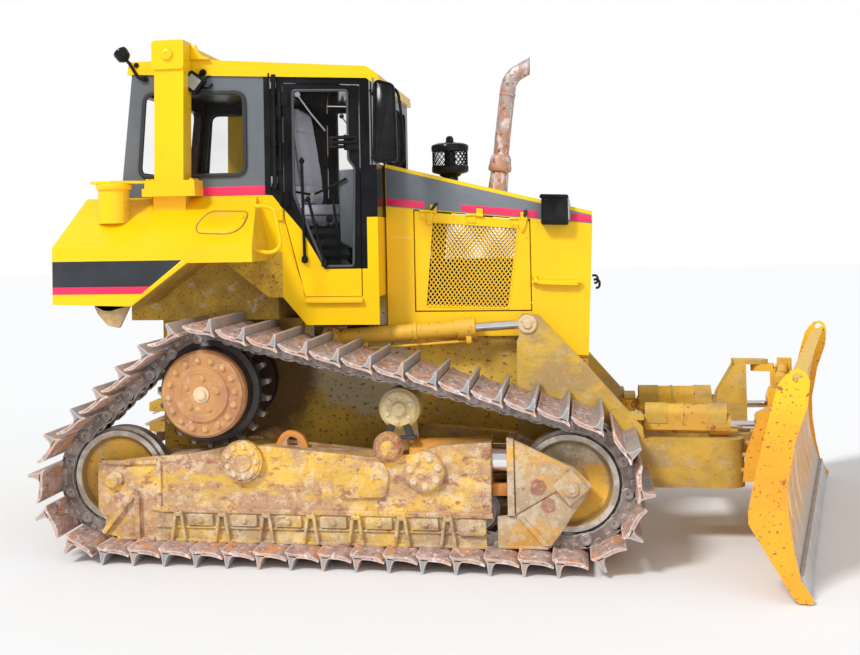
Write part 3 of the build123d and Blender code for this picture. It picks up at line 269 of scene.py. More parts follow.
    def clear_coat(self):
        """The thin gloss and fine orange peel of sprayed paint."""
        self.shader.inputs["Specular IOR Level"].default_value = 0.3
        self.shader.inputs["Coat Weight"].default_value = 0.12
        self.shader.inputs["Coat Roughness"].default_value = 0.2
        self.bump(self.noise(160.0, 2), 0.05)

    def bright_paint(self):
        """Clean yellow with a slow drift of tone."""
        return self.mix(self.step(self.noise(1.3, 4), 0.35, 0.72, 0.0, 0.35), YELLOW, DEEP_YELLOW)


def scaled(tone, share):
    """A tone made darker by a share."""
    return tuple(share * c for c in tone)


def body_paint(name="body_paint", colour=YELLOW, deep=DEEP_YELLOW, chips=0.0, grime=0.0, gloss=0.28):
    """Painted sheet: slow drift of tone, fine orange peel, chips of rust and grime by their shares."""
    f = Finish(name)
    paint = f.layers(colour, ((deep, 0.35 + grime * 0.5, 0.35, 0.72, 1.3, 4),
                              (scaled(deep, 0.62), 0.25 + grime * 0.6, 0.62 - grime * 0.12, 0.78, 7.0, 6, 2.3)))
    less = chips * 0.10
    worn = f.math("MAXIMUM", f.patch(0.735 - less, 0.76 - less, 42.0, 3, 5.1),
                  f.patch(0.72 - less, 0.75 - less, 11.0, 5, 9.7))
    rust_tone = f.layers(RUST, ((ORANGE_RUST, 1, 0.4, 0.6, 90.0, 2),))
    f.surface(f.mix(worn, paint, rust_tone), f.step(worn, 0, 1, gloss, 0.85))
    f.clear_coat()
    return f.material


def caked_paint(name, dusty=0.5, rusty=0.5, tone=YELLOW, dust=DUST, pale=PALE_DUST, spots=()):
    """Undercarriage paint: what yellow is left under a film of dried mud, maroon stains and small pale flecks.

    Each spot (x, z, radius) is a round stain on the side's face.
    """
    f = Finish(name)
    colour = f.layers(tone, (
        (scaled(tone, 0.78), 1, 0.35, 0.65, 5.0, 5),
        (dust, 0.85, 0.60 - 0.22 * dusty, 0.74 - 0.22 * dusty, 3.4, 7, 5.5, 0.68, (0.7, 1, 1.4))))
    film = f.patch(0.70 - 0.26 * dusty, 0.80 - 0.26 * dusty, 13.0, 9, 1.7, 0.74)
    colour = f.mix(f.times(film, 0.50), colour, pale)
    stain_tone = f.layers(MAROON, ((RUST, 1, 0.40, 0.66, 31.0, 5, 3.0),))
    colour = f.layers(colour, ((stain_tone, 0.80, 0.67 - 0.22 * rusty, 0.73 - 0.20 * rusty, 12.0, 9, 4.4, 0.76,
                                (0.7, 1, 1.2)),))
    for x, z, size in spots:
        away = f.plus(f.radius(x, z), f.times(f.noise(40.0, 5, 2.0), 0.03))
        colour = f.mix(f.times(f.step(away, size + 0.022, size + 0.010), 0.8), colour, stain_tone)
    colour = f.layers(colour, ((DARK_RUST, 0.6, 0.64, 0.70, 85.0, 3, 7.7), (pale, 0.55, 0.62, 0.68, 60.0, 4, 12.0)))
    # pale edges: partly wear, partly a painted highlight along the rims
    colour = f.mix(f.times(f.worn_and_lit_edges(0.005, 0.42, 0.60, 22.0, 4, 6.0), 0.55), colour, pale)
    f.surface(colour, f.step(f.noise(20.0, 4), 0.3, 0.7, 0.55, 0.85))
    f.bump(f.plus(f.noise(34.0, 8), f.times(film, 0.3)), 0.35, 0.003)
    return f.material


def shoe_steel():
    """Track shoes: pinkish brown scale with small orange rust patches, and pale edges that are partly wear and partly
    painted highlight.
    """
    f = Finish("shoe_steel")
    rust = f.layers((0.34, 0.21, 0.17), (((0.50, 0.36, 0.31), 1, 0.36, 0.64, 20.0, 6, 0.0, 0.6, WIDE_GRAIN),
                                         ((0.60, 0.27, 0.12), 1, 0.52, 0.62, 17.0, 6, 6.0, 0.55, WIDE_GRAIN),
                                         ((0.25, 0.13, 0.10), 1, 0.58, 0.66, 44.0, 4, 2.0, 0.55, WIDE_GRAIN),
                                         ((0.68, 0.57, 0.53), 1, 0.55, 0.66, 36.0, 6, 11.0, 0.55, WIDE_GRAIN)))
    # pale edges: partly wear, partly a painted highlight
    wear_and_highlight = f.worn_and_lit_edges(0.014, 0.20, 0.42, 16.0, 5, 8.0)
    f.surface(f.mix(f.times(wear_and_highlight, 0.92), rust, (0.93, 0.80, 0.76)), f.step(wear_and_highlight, 0, 1, 0.8, 0.45), f.times(wear_and_highlight, 0.25))
    f.bump(f.noise(90.0, 4), 0.12)
    return f.material


def bar_steel():
    """Bars across the shoes: bluish worn steel with brown scale, and pale rims that are partly wear and partly
    painted highlight.
    """
    f = Finish("bar_steel")
    colour = f.layers((0.30, 0.31, 0.32), (((0.44, 0.33, 0.28), 1, 0.42, 0.60, 14.0, 5, 0.0, 0.55, WIDE_GRAIN),
                                           ((0.56, 0.30, 0.17), 1, 0.56, 0.66, 26.0, 4, 7.0, 0.55, WIDE_GRAIN)))
    # pale rims: partly wear, partly a painted highlight
    wear_and_highlight = f.worn_and_lit_edges(0.012, 0.22, 0.44, 16.0, 5, 8.0)
    f.surface(f.mix(f.times(wear_and_highlight, 0.85), colour, (0.92, 0.80, 0.76)), f.step(f.noise(20.0, 3), 0.3, 0.7, 0.5, 0.8),
              f.step(wear_and_highlight, 0, 1, 0.2, 0.4))
    f.bump(f.noise(90.0, 4), 0.12)
    return f.material


def chain_steel():
    """Links and pins: greasy grey-brown steel, silver on edges that are partly rubbed and partly a painted highlight.
    """
    f = Finish("chain_steel")
    colour = f.layers((0.20, 0.155, 0.135), (((0.38, 0.32, 0.29), 1, 0.38, 0.64, 14.0, 5),
                                             ((0.46, 0.29, 0.20), 1, 0.60, 0.68, 24.0, 4, 3.0)))
    # silver edges: partly wear, partly a painted highlight
    wear_and_highlight = f.worn_and_lit_edges(0.010, 0.22, 0.44, 18.0, 4, 5.0)
    f.surface(f.mix(f.times(wear_and_highlight, 0.9), colour, (0.84, 0.81, 0.80)), f.step(f.noise(20.0, 3), 0.3, 0.7, 0.36, 0.62),
              f.step(wear_and_highlight, 0, 1, 0.25, 0.65))
    f.bump(f.noise(46.0, 6), 0.25)
    return f.material


def toothed_steel():
    """Sprocket: black and greasy inside, with pale worn teeth."""
    f = Finish("toothed_steel")
    worn = f.step(f.plus(f.radius(*HUB_PLACE), f.times(f.noise(20.0, 5), 0.02)), 0.300, 0.340)
    dark = f.layers((0.035, 0.028, 0.024), (((0.10, 0.065, 0.05), 1, 0.4, 0.65, 14.0, 6),))
    f.surface(f.mix(worn, dark, (0.50, 0.42, 0.36)), 0.45, f.step(worn, 0, 1, 0.1, 0.6))
    f.bump(f.noise(46.0, 6), 0.25)
    return f.material


def idler_steel():
    """Idlers: pale steel rims with a dark grease line, and dished discs of yellow paint under grey dust."""
    f = Finish("idler_steel")
    away = f.math("MINIMUM", *(f.radius(*place) for place in IDLER_PLACES))
    yellow = f.layers((0.80, 0.46, 0.05), (((0.62, 0.34, 0.06), 1, 0.36, 0.64, 6.0, 6),))
    grey = f.layers((0.36, 0.30, 0.21), (((0.60, 0.52, 0.40), 1, 0.4, 0.66, 18.0, 6, 2.0),))
    front_top = f.times(f.step(f.axis(2), 0.30, 0.62), f.step(f.axis(0), -0.8, -0.7))
    cover = f.step(f.plus(f.noise(5.0, 8, 3.0, 0.7), f.times(front_top, 0.22)), 0.50, 0.66)
    disc = f.layers(f.mix(f.times(cover, 0.9), yellow, grey), ((MAROON, 1, 0.62, 0.68, 40.0, 4, 5.0),))
    line = f.times(f.step(away, 0.196, 0.204), f.step(away, 0.224, 0.216))
    disc = f.mix(f.times(line, 0.75), disc, (0.16, 0.11, 0.07))
    rim = f.step(away, 0.220, 0.226)
    steel = f.layers((0.66, 0.60, 0.52), (((0.40, 0.35, 0.30), 1, 0.38, 0.62, 15.0, 7),))
    f.surface(f.mix(rim, disc, steel), f.step(rim, 0, 1, 0.65, 0.40), f.step(rim, 0, 1, 0.0, 0.55))
    f.bump(f.noise(40.0, 6), 0.2)
    return f.material


def chassis_dust():
    """Shaded paint between the tracks: olive dust over yellow, with dark specks of oil and a near-black painted shade
    round the final drive.
    """
    f = Finish("chassis_dust")
    colour = f.layers((0.80, 0.52, 0.06), (((0.50, 0.31, 0.05), 1, 0.34, 0.68, 3.0, 7),
                                           ((0.66, 0.54, 0.34), 1, 0.58, 0.72, 17.0, 8, 3.0, 0.7)))
    khaki = f.step(f.plus(f.radius(-0.62, 1.02), f.times(f.noise(9.0, 6, 1.0), 0.30)), 0.52, 0.44)
    colour = f.mix(f.times(khaki, 0.8), colour, (0.62, 0.56, 0.38))
    # painted shade: near-black round the final drive's axis, from 0.50 to 0.66 m out
    painted_hub_shade = f.step(f.plus(f.radius(*HUB_PLACE), f.times(f.noise(7.0, 6, 9.0), 0.25)), 0.66, 0.50)
    colour = f.mix(f.times(painted_hub_shade, 0.85), colour, (0.10, 0.045, 0.02))
    colour = f.layers(colour, (((0.20, 0.055, 0.025), 0.85, 0.60, 0.63, 44.0, 4, 6.0),))
    f.surface(colour, 0.75)
    f.bump(f.noise(40.0, 6), 0.25)
    return f.material


def tank_coat():
    """Rear tank: bright paint outside, brown dust with specks on what hangs under it, and painted shade on its front
    end: the same brown laid half over the faces that look ahead.
    """
    f = Finish("tank_coat")
    dust = f.layers((0.66, 0.42, 0.05), (((0.44, 0.27, 0.05), 1, 0.36, 0.64, 6.0, 8, 0.0, 0.7),
                                         ((0.58, 0.46, 0.28), 1, 0.58, 0.70, 18.0, 7, 4.0),
                                         (OIL, 0.8, 0.57, 0.62, 64.0, 5, 8.0, 0.65)))
    under = f.times(f.under(f.axis(2), 1.585), f.under(f.math("ABSOLUTE", f.axis(1)), 1.1185))
    # painted shade: faces that look ahead (+X) take 55% of the dust tone
    end = f.times(f.facing((1, 0, 0), 0.8, 0.9), 0.55)
    f.surface(f.mix(f.math("MAXIMUM", under, end), f.bright_paint(), dust), f.step(under, 0, 1, 0.28, 0.8))
    f.clear_coat()
    return f.material


def cab_coat(name, slate):
    """Cab sides: black enamel over yellow along the sill line, with a slate panel behind the door; near-black brown
    inside as painted shade of the cab's interior.
    """
    f = Finish(name)
    behind = f.under(f.axis(0), -1.095)
    colour = f.layers((0.006, 0.006, 0.007), (((0.014, 0.014, 0.016), 1, 0.4, 0.7, 5.0, 5),))
    if slate:
        panel = f.layers((0.150, 0.165, 0.185), (((0.125, 0.138, 0.155), 1, 0.35, 0.7, 2.5, 5),))
        colour = f.mix(behind, colour, panel)
    low = f.below(SILL_LINE)
    colour = f.mix(low, colour, f.bright_paint())
    grime = f.layers((0.74, 0.46, 0.04), (((0.48, 0.28, 0.04), 1, 0.36, 0.64, 7.0, 8, 0.0, 0.7),
                                          (OIL, 0.8, 0.57, 0.62, 64.0, 5, 8.0, 0.65)))
    belly = f.times(f.under(f.axis(0), -1.0), f.under(f.axis(2), 1.63))
    # painted shade: the cab's inner faces are near-black brown, standing in for the shade inside the cab
    painted_interior_shade = f.layers((0.030, 0.014, 0.008), (((0.012, 0.008, 0.006), 1, 0.4, 0.65, 7.0, 6),))
    inside = f.times(f.under(f.math("ABSOLUTE", f.axis(1)), 0.690), f.under(f.axis(0), -0.458))
    gloss = f.math("MAXIMUM", f.times(behind, 0.6 if slate else 0.0), f.times(low, 0.5))
    f.surface(f.mix(inside, f.mix(belly, colour, grime), painted_interior_shade), f.step(gloss, 0, 1, 0.12, 0.45))
    f.shader.inputs["Specular IOR Level"].default_value = 0.14
    f.bump(f.noise(160.0, 2), 0.03)
    return f.material


def blade_coat():
    """Blade: orange-yellow back; its working face is worn in upright streaks of bare grey, rust and white."""
    f = Finish("blade_coat")
    paint = f.layers((0.86, 0.42, 0.012), (((0.74, 0.31, 0.015), 1, 0.35, 0.7, 1.6, 5),))
    paint = f.mix(f.step(f.axis(2), 0.70, 1.02), paint, (0.90, 0.54, 0.01))
    high = f.step(f.axis(2), 0.55, 1.05, 0.0, 0.055)
    more = f.step(f.plus(f.noise(12.0, 7, 4.0, 0.7), high), 0.665, 0.70)
    chips = f.math("MAXIMUM", f.math("MAXIMUM", f.patch(0.655, 0.70, 9.0, 7, 9.7, 0.7), more),
                   f.patch(0.61, 0.65, 60.0, 4, 14.0))
    paint = f.mix(chips, paint, (0.36, 0.10, 0.035))
    face = f.layers((0.95, 0.86, 0.76), (((0.66, 0.40, 0.22), 1, 0.36, 0.50, 16.0, 6, 2.0, 0.65, UPRIGHT_GRAIN),
                                         ((0.80, 0.42, 0.12), 1, 0.46, 0.56, 22.0, 6, 5.0, 0.55, (1, 1, 0.12)),
                                         ((0.32, 0.13, 0.07), 1, 0.60, 0.66, 30.0, 5, 8.0, 0.55, (1, 1, 0.2))))
    face = f.mix(f.times(f.step(f.axis(2), 0.30, 0.12), 0.8), face, (0.50, 0.47, 0.45))
    front = f.facing((0.982, -0.188, 0), 0.45, 0.62)
    f.surface(f.mix(front, paint, face), f.step(front, 0, 1, 0.36, 0.72))
    f.bump(f.noise(50.0, 6, 0.0, 0.55, (1, 1, 0.3)), 0.15)
    return f.material


def dusty_hub():
    """Final drive cover: orange dust baked over the paint, pale edges that are partly wear and partly painted
    highlight, and near-black painted shade on its inner side.
    """
    f = Finish("dusty_hub")
    colour = f.layers((0.56, 0.27, 0.09), (((0.42, 0.19, 0.09), 1, 0.36, 0.66, 6.0, 8, 0.0, 0.7),
                                           ((0.66, 0.42, 0.24), 1, 0.54, 0.70, 16.0, 7, 2.5, 0.7),
                                           (MAROON, 1, 0.60, 0.70, 13.0, 7, 8.5, 0.7)))
    # pale edges: partly wear, partly a painted highlight
    wear_and_highlight = f.worn_and_lit_edges(0.005, 0.35, 0.6, 20.0, 3, 5.0)
    colour = f.mix(f.times(wear_and_highlight, 0.8), colour, (0.86, 0.66, 0.40))
    # painted shade: the inner side, within 1.02 m of the middle, is near-black
    inner = f.under(f.math("ABSOLUTE", f.axis(1)), 1.02)
    f.surface(f.mix(inner, colour, (0.05, 0.025, 0.015)), 0.7)
    f.bump(f.noise(36.0, 6), 0.3, 0.003)
    return f.material


def plain_finish(name, colour, rough, metallic=0.0, vary=0.12, bump=0.05, grain=60.0, shine=0.5):
    """One tone with a little cloudiness and grain; for rubber, plastic, black paint and bright steel."""
    f = Finish(name)
    lighter = tuple(min(1.0, c * (1 + vary) + vary * 0.02) for c in colour)
    f.surface(f.layers(colour, ((lighter, 1, 0.35, 0.7, 6.0, 5),)),
              f.step(f.noise(14.0, 4, 3.0), 0.3, 0.7, rough * 0.8, min(1.0, rough * 1.25)), metallic)
    f.shader.inputs["Specular IOR Level"].default_value = shine
    f.bump(f.noise(grain, 3), bump)
    return f.material


def pane_glass():
    """Thin clear glass with a trace of dust."""
    f = Finish("pane_glass")
    f.surface((0.05, 0.06, 0.06, 1), 0.03)
    f.shader.inputs["Specular IOR Level"].default_value = 0.15
    f.feed(f.shader, "Alpha", f.step(f.noise(2.0, 3), 0.3, 0.7, 0.03, 0.07))
    return f.material


def stack_rust():
    """Exhaust pipe: orange scale over galvanised grey."""
    f = Finish("stack_rust")
    height = f.step(f.axis(2), 2.05, 2.75)
    scale = f.step(f.plus(f.noise(18.0, 7), f.times(height, -0.10)), 0.40, 0.54)
    colour = f.layers(f.mix(scale, (0.44, 0.36, 0.33), (0.50, 0.25, 0.16)), (
        ((0.70, 0.60, 0.57), 1, 0.50, 0.62, 36.0, 7, 4.0, 0.55, (1, 1, 0.4)),
        ((0.22, 0.08, 0.05), 1, 0.60, 0.68, 40.0, 4, 8.0)))
    f.surface(colour, 0.62, 0.35)
    f.bump(f.noise(50.0, 6), 0.4, 0.003)
    return f.material


PAINT = body_paint()
WORN_PAINT = body_paint("worn_paint", (0.84, 0.48, 0.03), (0.62, 0.33, 0.05), chips=0.7, grime=0.6, gloss=0.5)
GEAR_PAINT = body_paint("gear_paint", (0.80, 0.46, 0.04), (0.56, 0.32, 0.08), chips=0.9, grime=0.8, gloss=0.5)
ORANGE_PAINT = body_paint("orange_paint", (0.72, 0.29, 0.05), (0.56, 0.22, 0.05), chips=0.4, grime=0.5, gloss=0.6)
MESH = body_paint("mesh_paint", (0.86, 0.52, 0.02), (0.60, 0.36, 0.03), grime=0.3, gloss=0.4)
BLADE_PAINT = blade_coat()
TANK = tank_coat()
CAB_SIDE = cab_coat("cab_side", True)
CAB_DOOR = cab_coat("cab_door_coat", False)
CHASSIS = chassis_dust()
# name, dusty, rusty, tone, dust, then the pale tone and the round stains where they differ
PUSH_FRAME = caked_paint("push_frame_dust", 0.66, 0.30, (0.70, 0.44, 0.06), (0.44, 0.29, 0.12), (0.58, 0.46, 0.30))
FRAME_CAKED = caked_paint("frame_caked", 0.78, 0.66, (0.86, 0.52, 0.08), (0.44, 0.26, 0.17), (0.78, 0.64, 0.46))
GUARD_CAKED = caked_paint("guard_caked", 0.82, 0.56, (0.84, 0.55, 0.11), (0.42, 0.30, 0.20), (0.74, 0.64, 0.46))
IDLER_CAKED = caked_paint("idler_caked", 0.8, 0.30, (0.80, 0.60, 0.20), (0.55, 0.45, 0.26))
BRIGHT_DUST = caked_paint("bolt_dust", 0.9, 0.15, (0.80, 0.56, 0.24), (0.72, 0.54, 0.32))
YOKE_CAKED = caked_paint("yoke_caked", 0.86, 0.40, (0.78, 0.42, 0.09), (0.42, 0.33, 0.23), (0.66, 0.57, 0.42),
                         ((0.418, 0.405, 0.042), (0.468, 0.312, 0.038)))
HOUSING_DUST = caked_paint("housing_dust", 0.35, 0.25, (0.74, 0.33, 0.05), (0.58, 0.36, 0.16))
RUSTY_CAST = caked_paint("rusty_cast", 0.6, 0.85, (0.60, 0.30, 0.10), (0.55, 0.42, 0.28))
HUB_BOLT = caked_paint("hub_bolt_dust", 0.5, 0.3, (0.62, 0.33, 0.12), (0.68, 0.45, 0.26))
IDLER = idler_steel()
TOOTHED = toothed_steel()
SHOE = shoe_steel()
BAR = bar_steel()
CHAIN = chain_steel()
HUB = dusty_hub()
GLASS = pane_glass()
STACK = stack_rust()
# name, tone, roughness, metal, cloudiness, relief, its grain and the shine
DARK_TRIM = plain_finish("dark_trim", (0.05, 0.05, 0.055), 0.35, bump=0.1)
STAIN = plain_finish("seam_grime", (0.26, 0.12, 0.09), 0.8, vary=0.5, bump=0.3, grain=40.0)
PALE_CAP = plain_finish("pale_cap", (0.74, 0.56, 0.34), 0.6, vary=0.3, bump=0.2, grain=40.0)
BLACK = plain_finish("black_enamel", (0.006, 0.006, 0.007), 0.16, vary=0.3, bump=0.03, shine=0.16)
GREASE_BLACK = plain_finish("grease_black", (0.018, 0.014, 0.012), 0.5, vary=0.8, bump=0.4, grain=30.0)
RUBBER = plain_finish("black_rubber", (0.018, 0.018, 0.018), 0.55, bump=0.2)
GREY_RUBBER = plain_finish("grey_rubber", (0.22, 0.23, 0.24), 0.5, bump=0.1)
SLATE = plain_finish("slate_film", (0.150, 0.165, 0.185), 0.40, vary=0.15, bump=0.02)
DARK_FILM = plain_finish("dark_film", (0.018, 0.022, 0.028), 0.30, vary=0.3, bump=0.02)
RED = plain_finish("red_film", STRIPE_RED, 0.32, vary=0.1, bump=0.02)
CHROME = plain_finish("rod_chrome", (0.86, 0.86, 0.88), 0.12, metallic=1.0, vary=0.03, bump=0.01)
BARE = plain_finish("bare_steel", (0.50, 0.47, 0.45), 0.42, metallic=0.6, vary=0.25, bump=0.15, grain=30.0)
VINYL = plain_finish("grey_vinyl", (0.80, 0.79, 0.90), 0.5, vary=0.08, bump=0.25, grain=220.0)
LENS = plain_finish("lamp_lens", (0.30, 0.31, 0.28), 0.12, vary=0.3, bump=0.3, grain=120.0)
DARK_CAST = plain_finish("dark_casting", (0.03, 0.028, 0.026), 0.6, vary=0.5, bump=0.4, grain=25.0)

NODE_FINISH = {
    "track": SHOE, "sprocket": TOOTHED, "final_drive": HUB, "idlers": IDLER, "rollers": CHAIN,
    "track_frame": FRAME_CAKED, "roller_guard": GUARD_CAKED, "idler_yoke": YOKE_CAKED, "carrier_roller": IDLER_CAKED,
    "side_panels": PAINT, "grille_door": PAINT, "cab_door": CAB_DOOR, "door_glass": GLASS,
    "lift_barrel": GEAR_PAINT, "lift_rod": CHROME, "angle_barrel": GEAR_PAINT, "angle_rod": CHROME,
    "main_frame": CHASSIS, "engine_block": DARK_CAST, "radiator_guard": PAINT, "hood": PAINT,
    "precleaner": BLACK, "exhaust": STACK, "work_lamps": BLACK, "cab_shell": CAB_SIDE, "cab_roof": PAINT,
    "cab_glass": GLASS, "operator_seat": VINYL, "console": DARK_CAST, "rops_frame": PAINT, "fuel_tank": TANK,
    "equalizer_bar": CHASSIS, "drawbar": CHASSIS, "mirrors": BLACK, "grab_handles": PAINT,
    "c_frame": PUSH_FRAME, "blade_yoke": WORN_PAINT, "blade": BLADE_PAINT, "cutting_edge": BARE,
    "tilt_barrel": GEAR_PAINT, "tilt_rod": CHROME,
}


def finish_nodes():
    """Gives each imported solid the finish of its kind."""
    for name, piece in NODES.items():
        kind = name.removesuffix("_right").removesuffix("_left")
        piece.data.materials.clear()
        piece.data.materials.append(NODE_FINISH[kind])


# ---------------------------------------------------------------- forms
# A form is (points, faces). Sizes are millimetres until put() writes them in metres.
OUT, IN = (0, -1, 0), (0, 1, 0)       # away from the machine's middle on its right side, and towards it
AHEAD, UP = (1, 0, 0), (0, 0, 1)
ASIDE = (0, 1, 0.01)                  # across the machine, yet never along a pipe that runs level


def rect(x0, x1, y0, y1):
    """The corners of a rectangle between two pairs of edges."""
    return [(x0, y0), (x1, y0), (x1, y1), (x0, y1)]


def button(radius, high, tip=0.5):
    """The (along, radius) profile of a round head with a 4 mm bevel."""
    return [(0, radius), (high - 4, radius), (high, radius - 4), (high, tip)]


def rounded(corners, radius, steps=4):
    """Corners rounded by parabolas: (1-t)^2 a + 2t(1-t) c + t^2 b, where a and b stand radius from corner c."""
    c = np.asarray(corners, float)
    back, ahead = np.roll(c, 1, 0) - c, np.roll(c, -1, 0) - c
    long_back = np.linalg.norm(back, axis=1, keepdims=True)
    long_ahead = np.linalg.norm(ahead, axis=1, keepdims=True)
    a = c + back / long_back * np.minimum(radius, 0.48 * long_back)
    b = c + ahead / long_ahead * np.minimum(radius, 0.48 * long_ahead)
    t = np.linspace(0, 1, steps)[None, :, None]
    return ((1 - t) ** 2 * a[:, None] + 2 * t * (1 - t) * c[:, None] + t ** 2 * b[:, None]).reshape(-1, c.shape[1])


def strap(wide, high, corner):
    """The section of a bar with rounded edges, by its half width and half height."""
    return rounded(rect(-wide, wide, -high, high), corner, 3)


def inset(outline, depth):
    """Every corner moved inward along its mitre by depth."""
    ahead = np.roll(outline, -1, 0) - outline
    ahead /= np.maximum(np.linalg.norm(ahead, axis=1, keepdims=True), 1e-9)
    back = np.roll(ahead, 1, 0)
    area = np.sum(outline[:, 0] * np.roll(outline[:, 1], -1) - outline[:, 1] * np.roll(outline[:, 0], -1))
    both = ahead + back
    mitre = np.stack([-both[:, 1], both[:, 0]], 1) * np.sign(area)
    mitre /= np.maximum(np.sum(both ** 2, 1, keepdims=True) / 2, 0.3)
    return outline + mitre * depth


def grid_faces(rows, columns, loop):
    """Quads of a grid of points whose rows are closed rings; loop joins its last row to its first."""
    r = np.arange(rows if loop else rows - 1)[:, None]
    c = np.arange(columns)[None, :]
    r1, c1 = (r + 1) % rows, (c + 1) % columns
    quads = [r * columns + c, r * columns + c1, r1 * columns + c1, r1 * columns + c]
    return np.stack(np.broadcast_arrays(*quads), -1).reshape(-1, 4).tolist()


def loft(rings, loop=False):
    """A skin over rings of points, with flat ends unless it loops back to its first ring."""
    rings = np.asarray(rings, float)
    rows, columns = rings.shape[:2]
    faces = grid_faces(rows, columns, loop)
    if not loop:
        faces += [list(range(columns))[::-1], list(range((rows - 1) * columns, rows * columns))]
    return rings.reshape(-1, 3), faces


def join(*forms):
    """Several forms as one."""
    points, faces, start = [], [], 0
    for p, f in forms:
        points.append(p)
        faces += [[i + start for i in face] for face in f]
        start += len(p)
    return np.concatenate(points), faces


def plate(outline, origin, u, v, thick, bevel=1.5, radius=0):
    """An outline of (u, v) points with its thickness along u x v and a bevelled rim on the far side."""
    shape = np.asarray(outline, float)
    if radius:
        shape = rounded(shape, radius)
    u, v = np.asarray(u, float), np.asarray(v, float)
    n = np.cross(u, v)
    rims = np.stack([shape, shape, inset(shape, bevel * 0.35), inset(shape, bevel)])
    lift = np.array([0, thick - bevel, thick - bevel * 0.35, thick])
    rings = np.asarray(origin, float) + rims[..., :1] * u + rims[..., 1:] * v + lift[:, None, None] * n
    return loft(rings)


def side(outline, y, thick, bevel=1.5, radius=0):
    """A plate whose outline is in (x, z), standing out towards -Y from the face at y."""
    return plate(outline, (0, y, 0), AHEAD, UP, thick, bevel, radius)


def block(x0, x1, y0, y1, z0, z1, bevel=3.0):
    """A box with all its edges bevelled: rounded outlines carried up, drawn in at both ends."""
    shape = rounded(rect(x0, x1, y0, y1), bevel, 3)
    rims = np.stack([inset(shape, bevel), inset(shape, bevel * 0.3), shape, shape, inset(shape, bevel * 0.3),
                     inset(shape, bevel)])
    z = np.array([z0, z0 + bevel * 0.3, z0 + bevel, z1 - bevel, z1 - bevel * 0.3, z1])
    return loft(np.concatenate([rims, np.broadcast_to(z[:, None, None], rims.shape[:2] + (1,))], 2))


def across(direction):
    """Two unit vectors square to a direction and to each other."""
    n = np.asarray(direction, float)
    n = n / np.linalg.norm(n)
    first = np.cross(n, UP if abs(n[2]) < 0.9 else IN)
    first /= np.linalg.norm(first)
    return first, np.cross(n, first), n


def lathe(profile, origin, direction, columns=32, hollow=False):
    """A profile of (along, radius) points turned about a line; a hollow one closes on itself, round a hole."""
    p = np.asarray(profile, float)
    u, v, n = across(direction)
    a = np.linspace(0, 2 * pi, columns, endpoint=False)
    ring = np.cos(a)[:, None] * u + np.sin(a)[:, None] * v
    return loft(np.asarray(origin, float) + p[:, None, :1] * n + p[:, None, 1:] * ring, loop=hollow)


def smooth_path(points, per=6):
    """A Catmull-Rom line through the points, each span cut into per steps."""
    p = np.asarray(points, float)
    q = np.concatenate([2 * p[:1] - p[1:2], p, 2 * p[-1:] - p[-2:-1]])
    a, b, c, d = (k[:, None] for k in (q[:-3], q[1:-2], q[2:-1], q[3:]))
    t = np.linspace(0, 1, per, endpoint=False)[None, :, None]
    line = 0.5 * (2 * b + (c - a) * t + (2 * a - 5 * b + 4 * c - d) * t ** 2 + (3 * b - a - 3 * c + d) * t ** 3)
    return np.concatenate([line.reshape(-1, 3), p[-1:]])


def sweep(path, profile, up=UP, closed=False):
    """A profile of (sideways, upward) points carried square to a path; up says which way is upward."""
    path, profile = np.asarray(path, float), np.asarray(profile, float)
    ahead = np.roll(path, -1, 0) - np.roll(path, 1, 0) if closed else np.gradient(path, axis=0)
    ahead /= np.linalg.norm(ahead, axis=1, keepdims=True)
    out = np.cross(ahead, np.asarray(up, float))
    out /= np.linalg.norm(out, axis=1, keepdims=True)
    top = np.cross(out, ahead)
    rings = path[:, None] + profile[None, :, :1] * out[:, None] + profile[None, :, 1:] * top[:, None]
    return loft(rings, loop=closed)


def circle(radius, columns=10):
    """Points evenly round the origin."""
    a = np.linspace(0, 2 * pi, columns, endpoint=False)
    return np.stack([np.cos(a), np.sin(a)], 1) * radius


def tube(points, radius, per=6, up=ASIDE):
    """A round tube along a smooth line through the points."""
    return sweep(smooth_path(points, per), circle(radius), up)


def rod(points, radius):
    """A round rod with a corner at each point."""
    return sweep(points, circle(radius, 12), ASIDE)


def repeated(faces, copies, size):
    """The faces of one form of size points, for each of its copies."""
    starts = np.arange(copies)[:, None] * size
    return [face for one in faces for face in (np.asarray(one) + starts).tolist()]


def many(form, places, directions):
    """Copies of one form, which is made along +Z, at every place, each turned to its direction."""
    points, faces = form
    places = np.asarray(places, float)
    directions = np.broadcast_to(np.asarray(directions, float), places.shape)
    n = directions / np.linalg.norm(directions, axis=1, keepdims=True)
    helper = np.where(np.abs(n[:, 2:]) < 0.9, (0.0, 0.0, 1.0), (0.0, 1.0, 0.0))
    u = np.cross(helper, n)
    u /= np.linalg.norm(u, axis=1, keepdims=True)
    v = np.cross(n, u)
    spread = places[:, None] + points[:, :1] * u[:, None] + points[:, 1:2] * v[:, None] + points[:, 2:] * n[:, None]
    return spread.reshape(-1, 3), repeated(faces, len(places), len(points))


def bolt_head(radius, height=None):
    """A hexagonal head on a round washer, with a bevelled crown."""
    height = height or radius * 0.75
    hexed = np.where(np.arange(12) % 2, 0.866, 1.0)
    a = np.linspace(0, 2 * pi, 12, endpoint=False)
    rings = []
    for outer, z in ((1.3, 0.0), (1.3, 0.2), (hexed, 0.2), (hexed, 0.85), (0.8, 1.0)):
        r = radius * outer
        rings.append(np.stack([np.cos(a) * r, np.sin(a) * r, np.full(12, z * height)], 1))
    return loft(np.stack(rings))


def ring_of(count, radius, x, y, z, start=0.0):
    """Places evenly round a circle that faces -Y."""
    a = np.linspace(0, 2 * pi, count, endpoint=False) + start
    return np.stack([x + radius * np.cos(a), np.full(count, y), z + radius * np.sin(a)], 1)


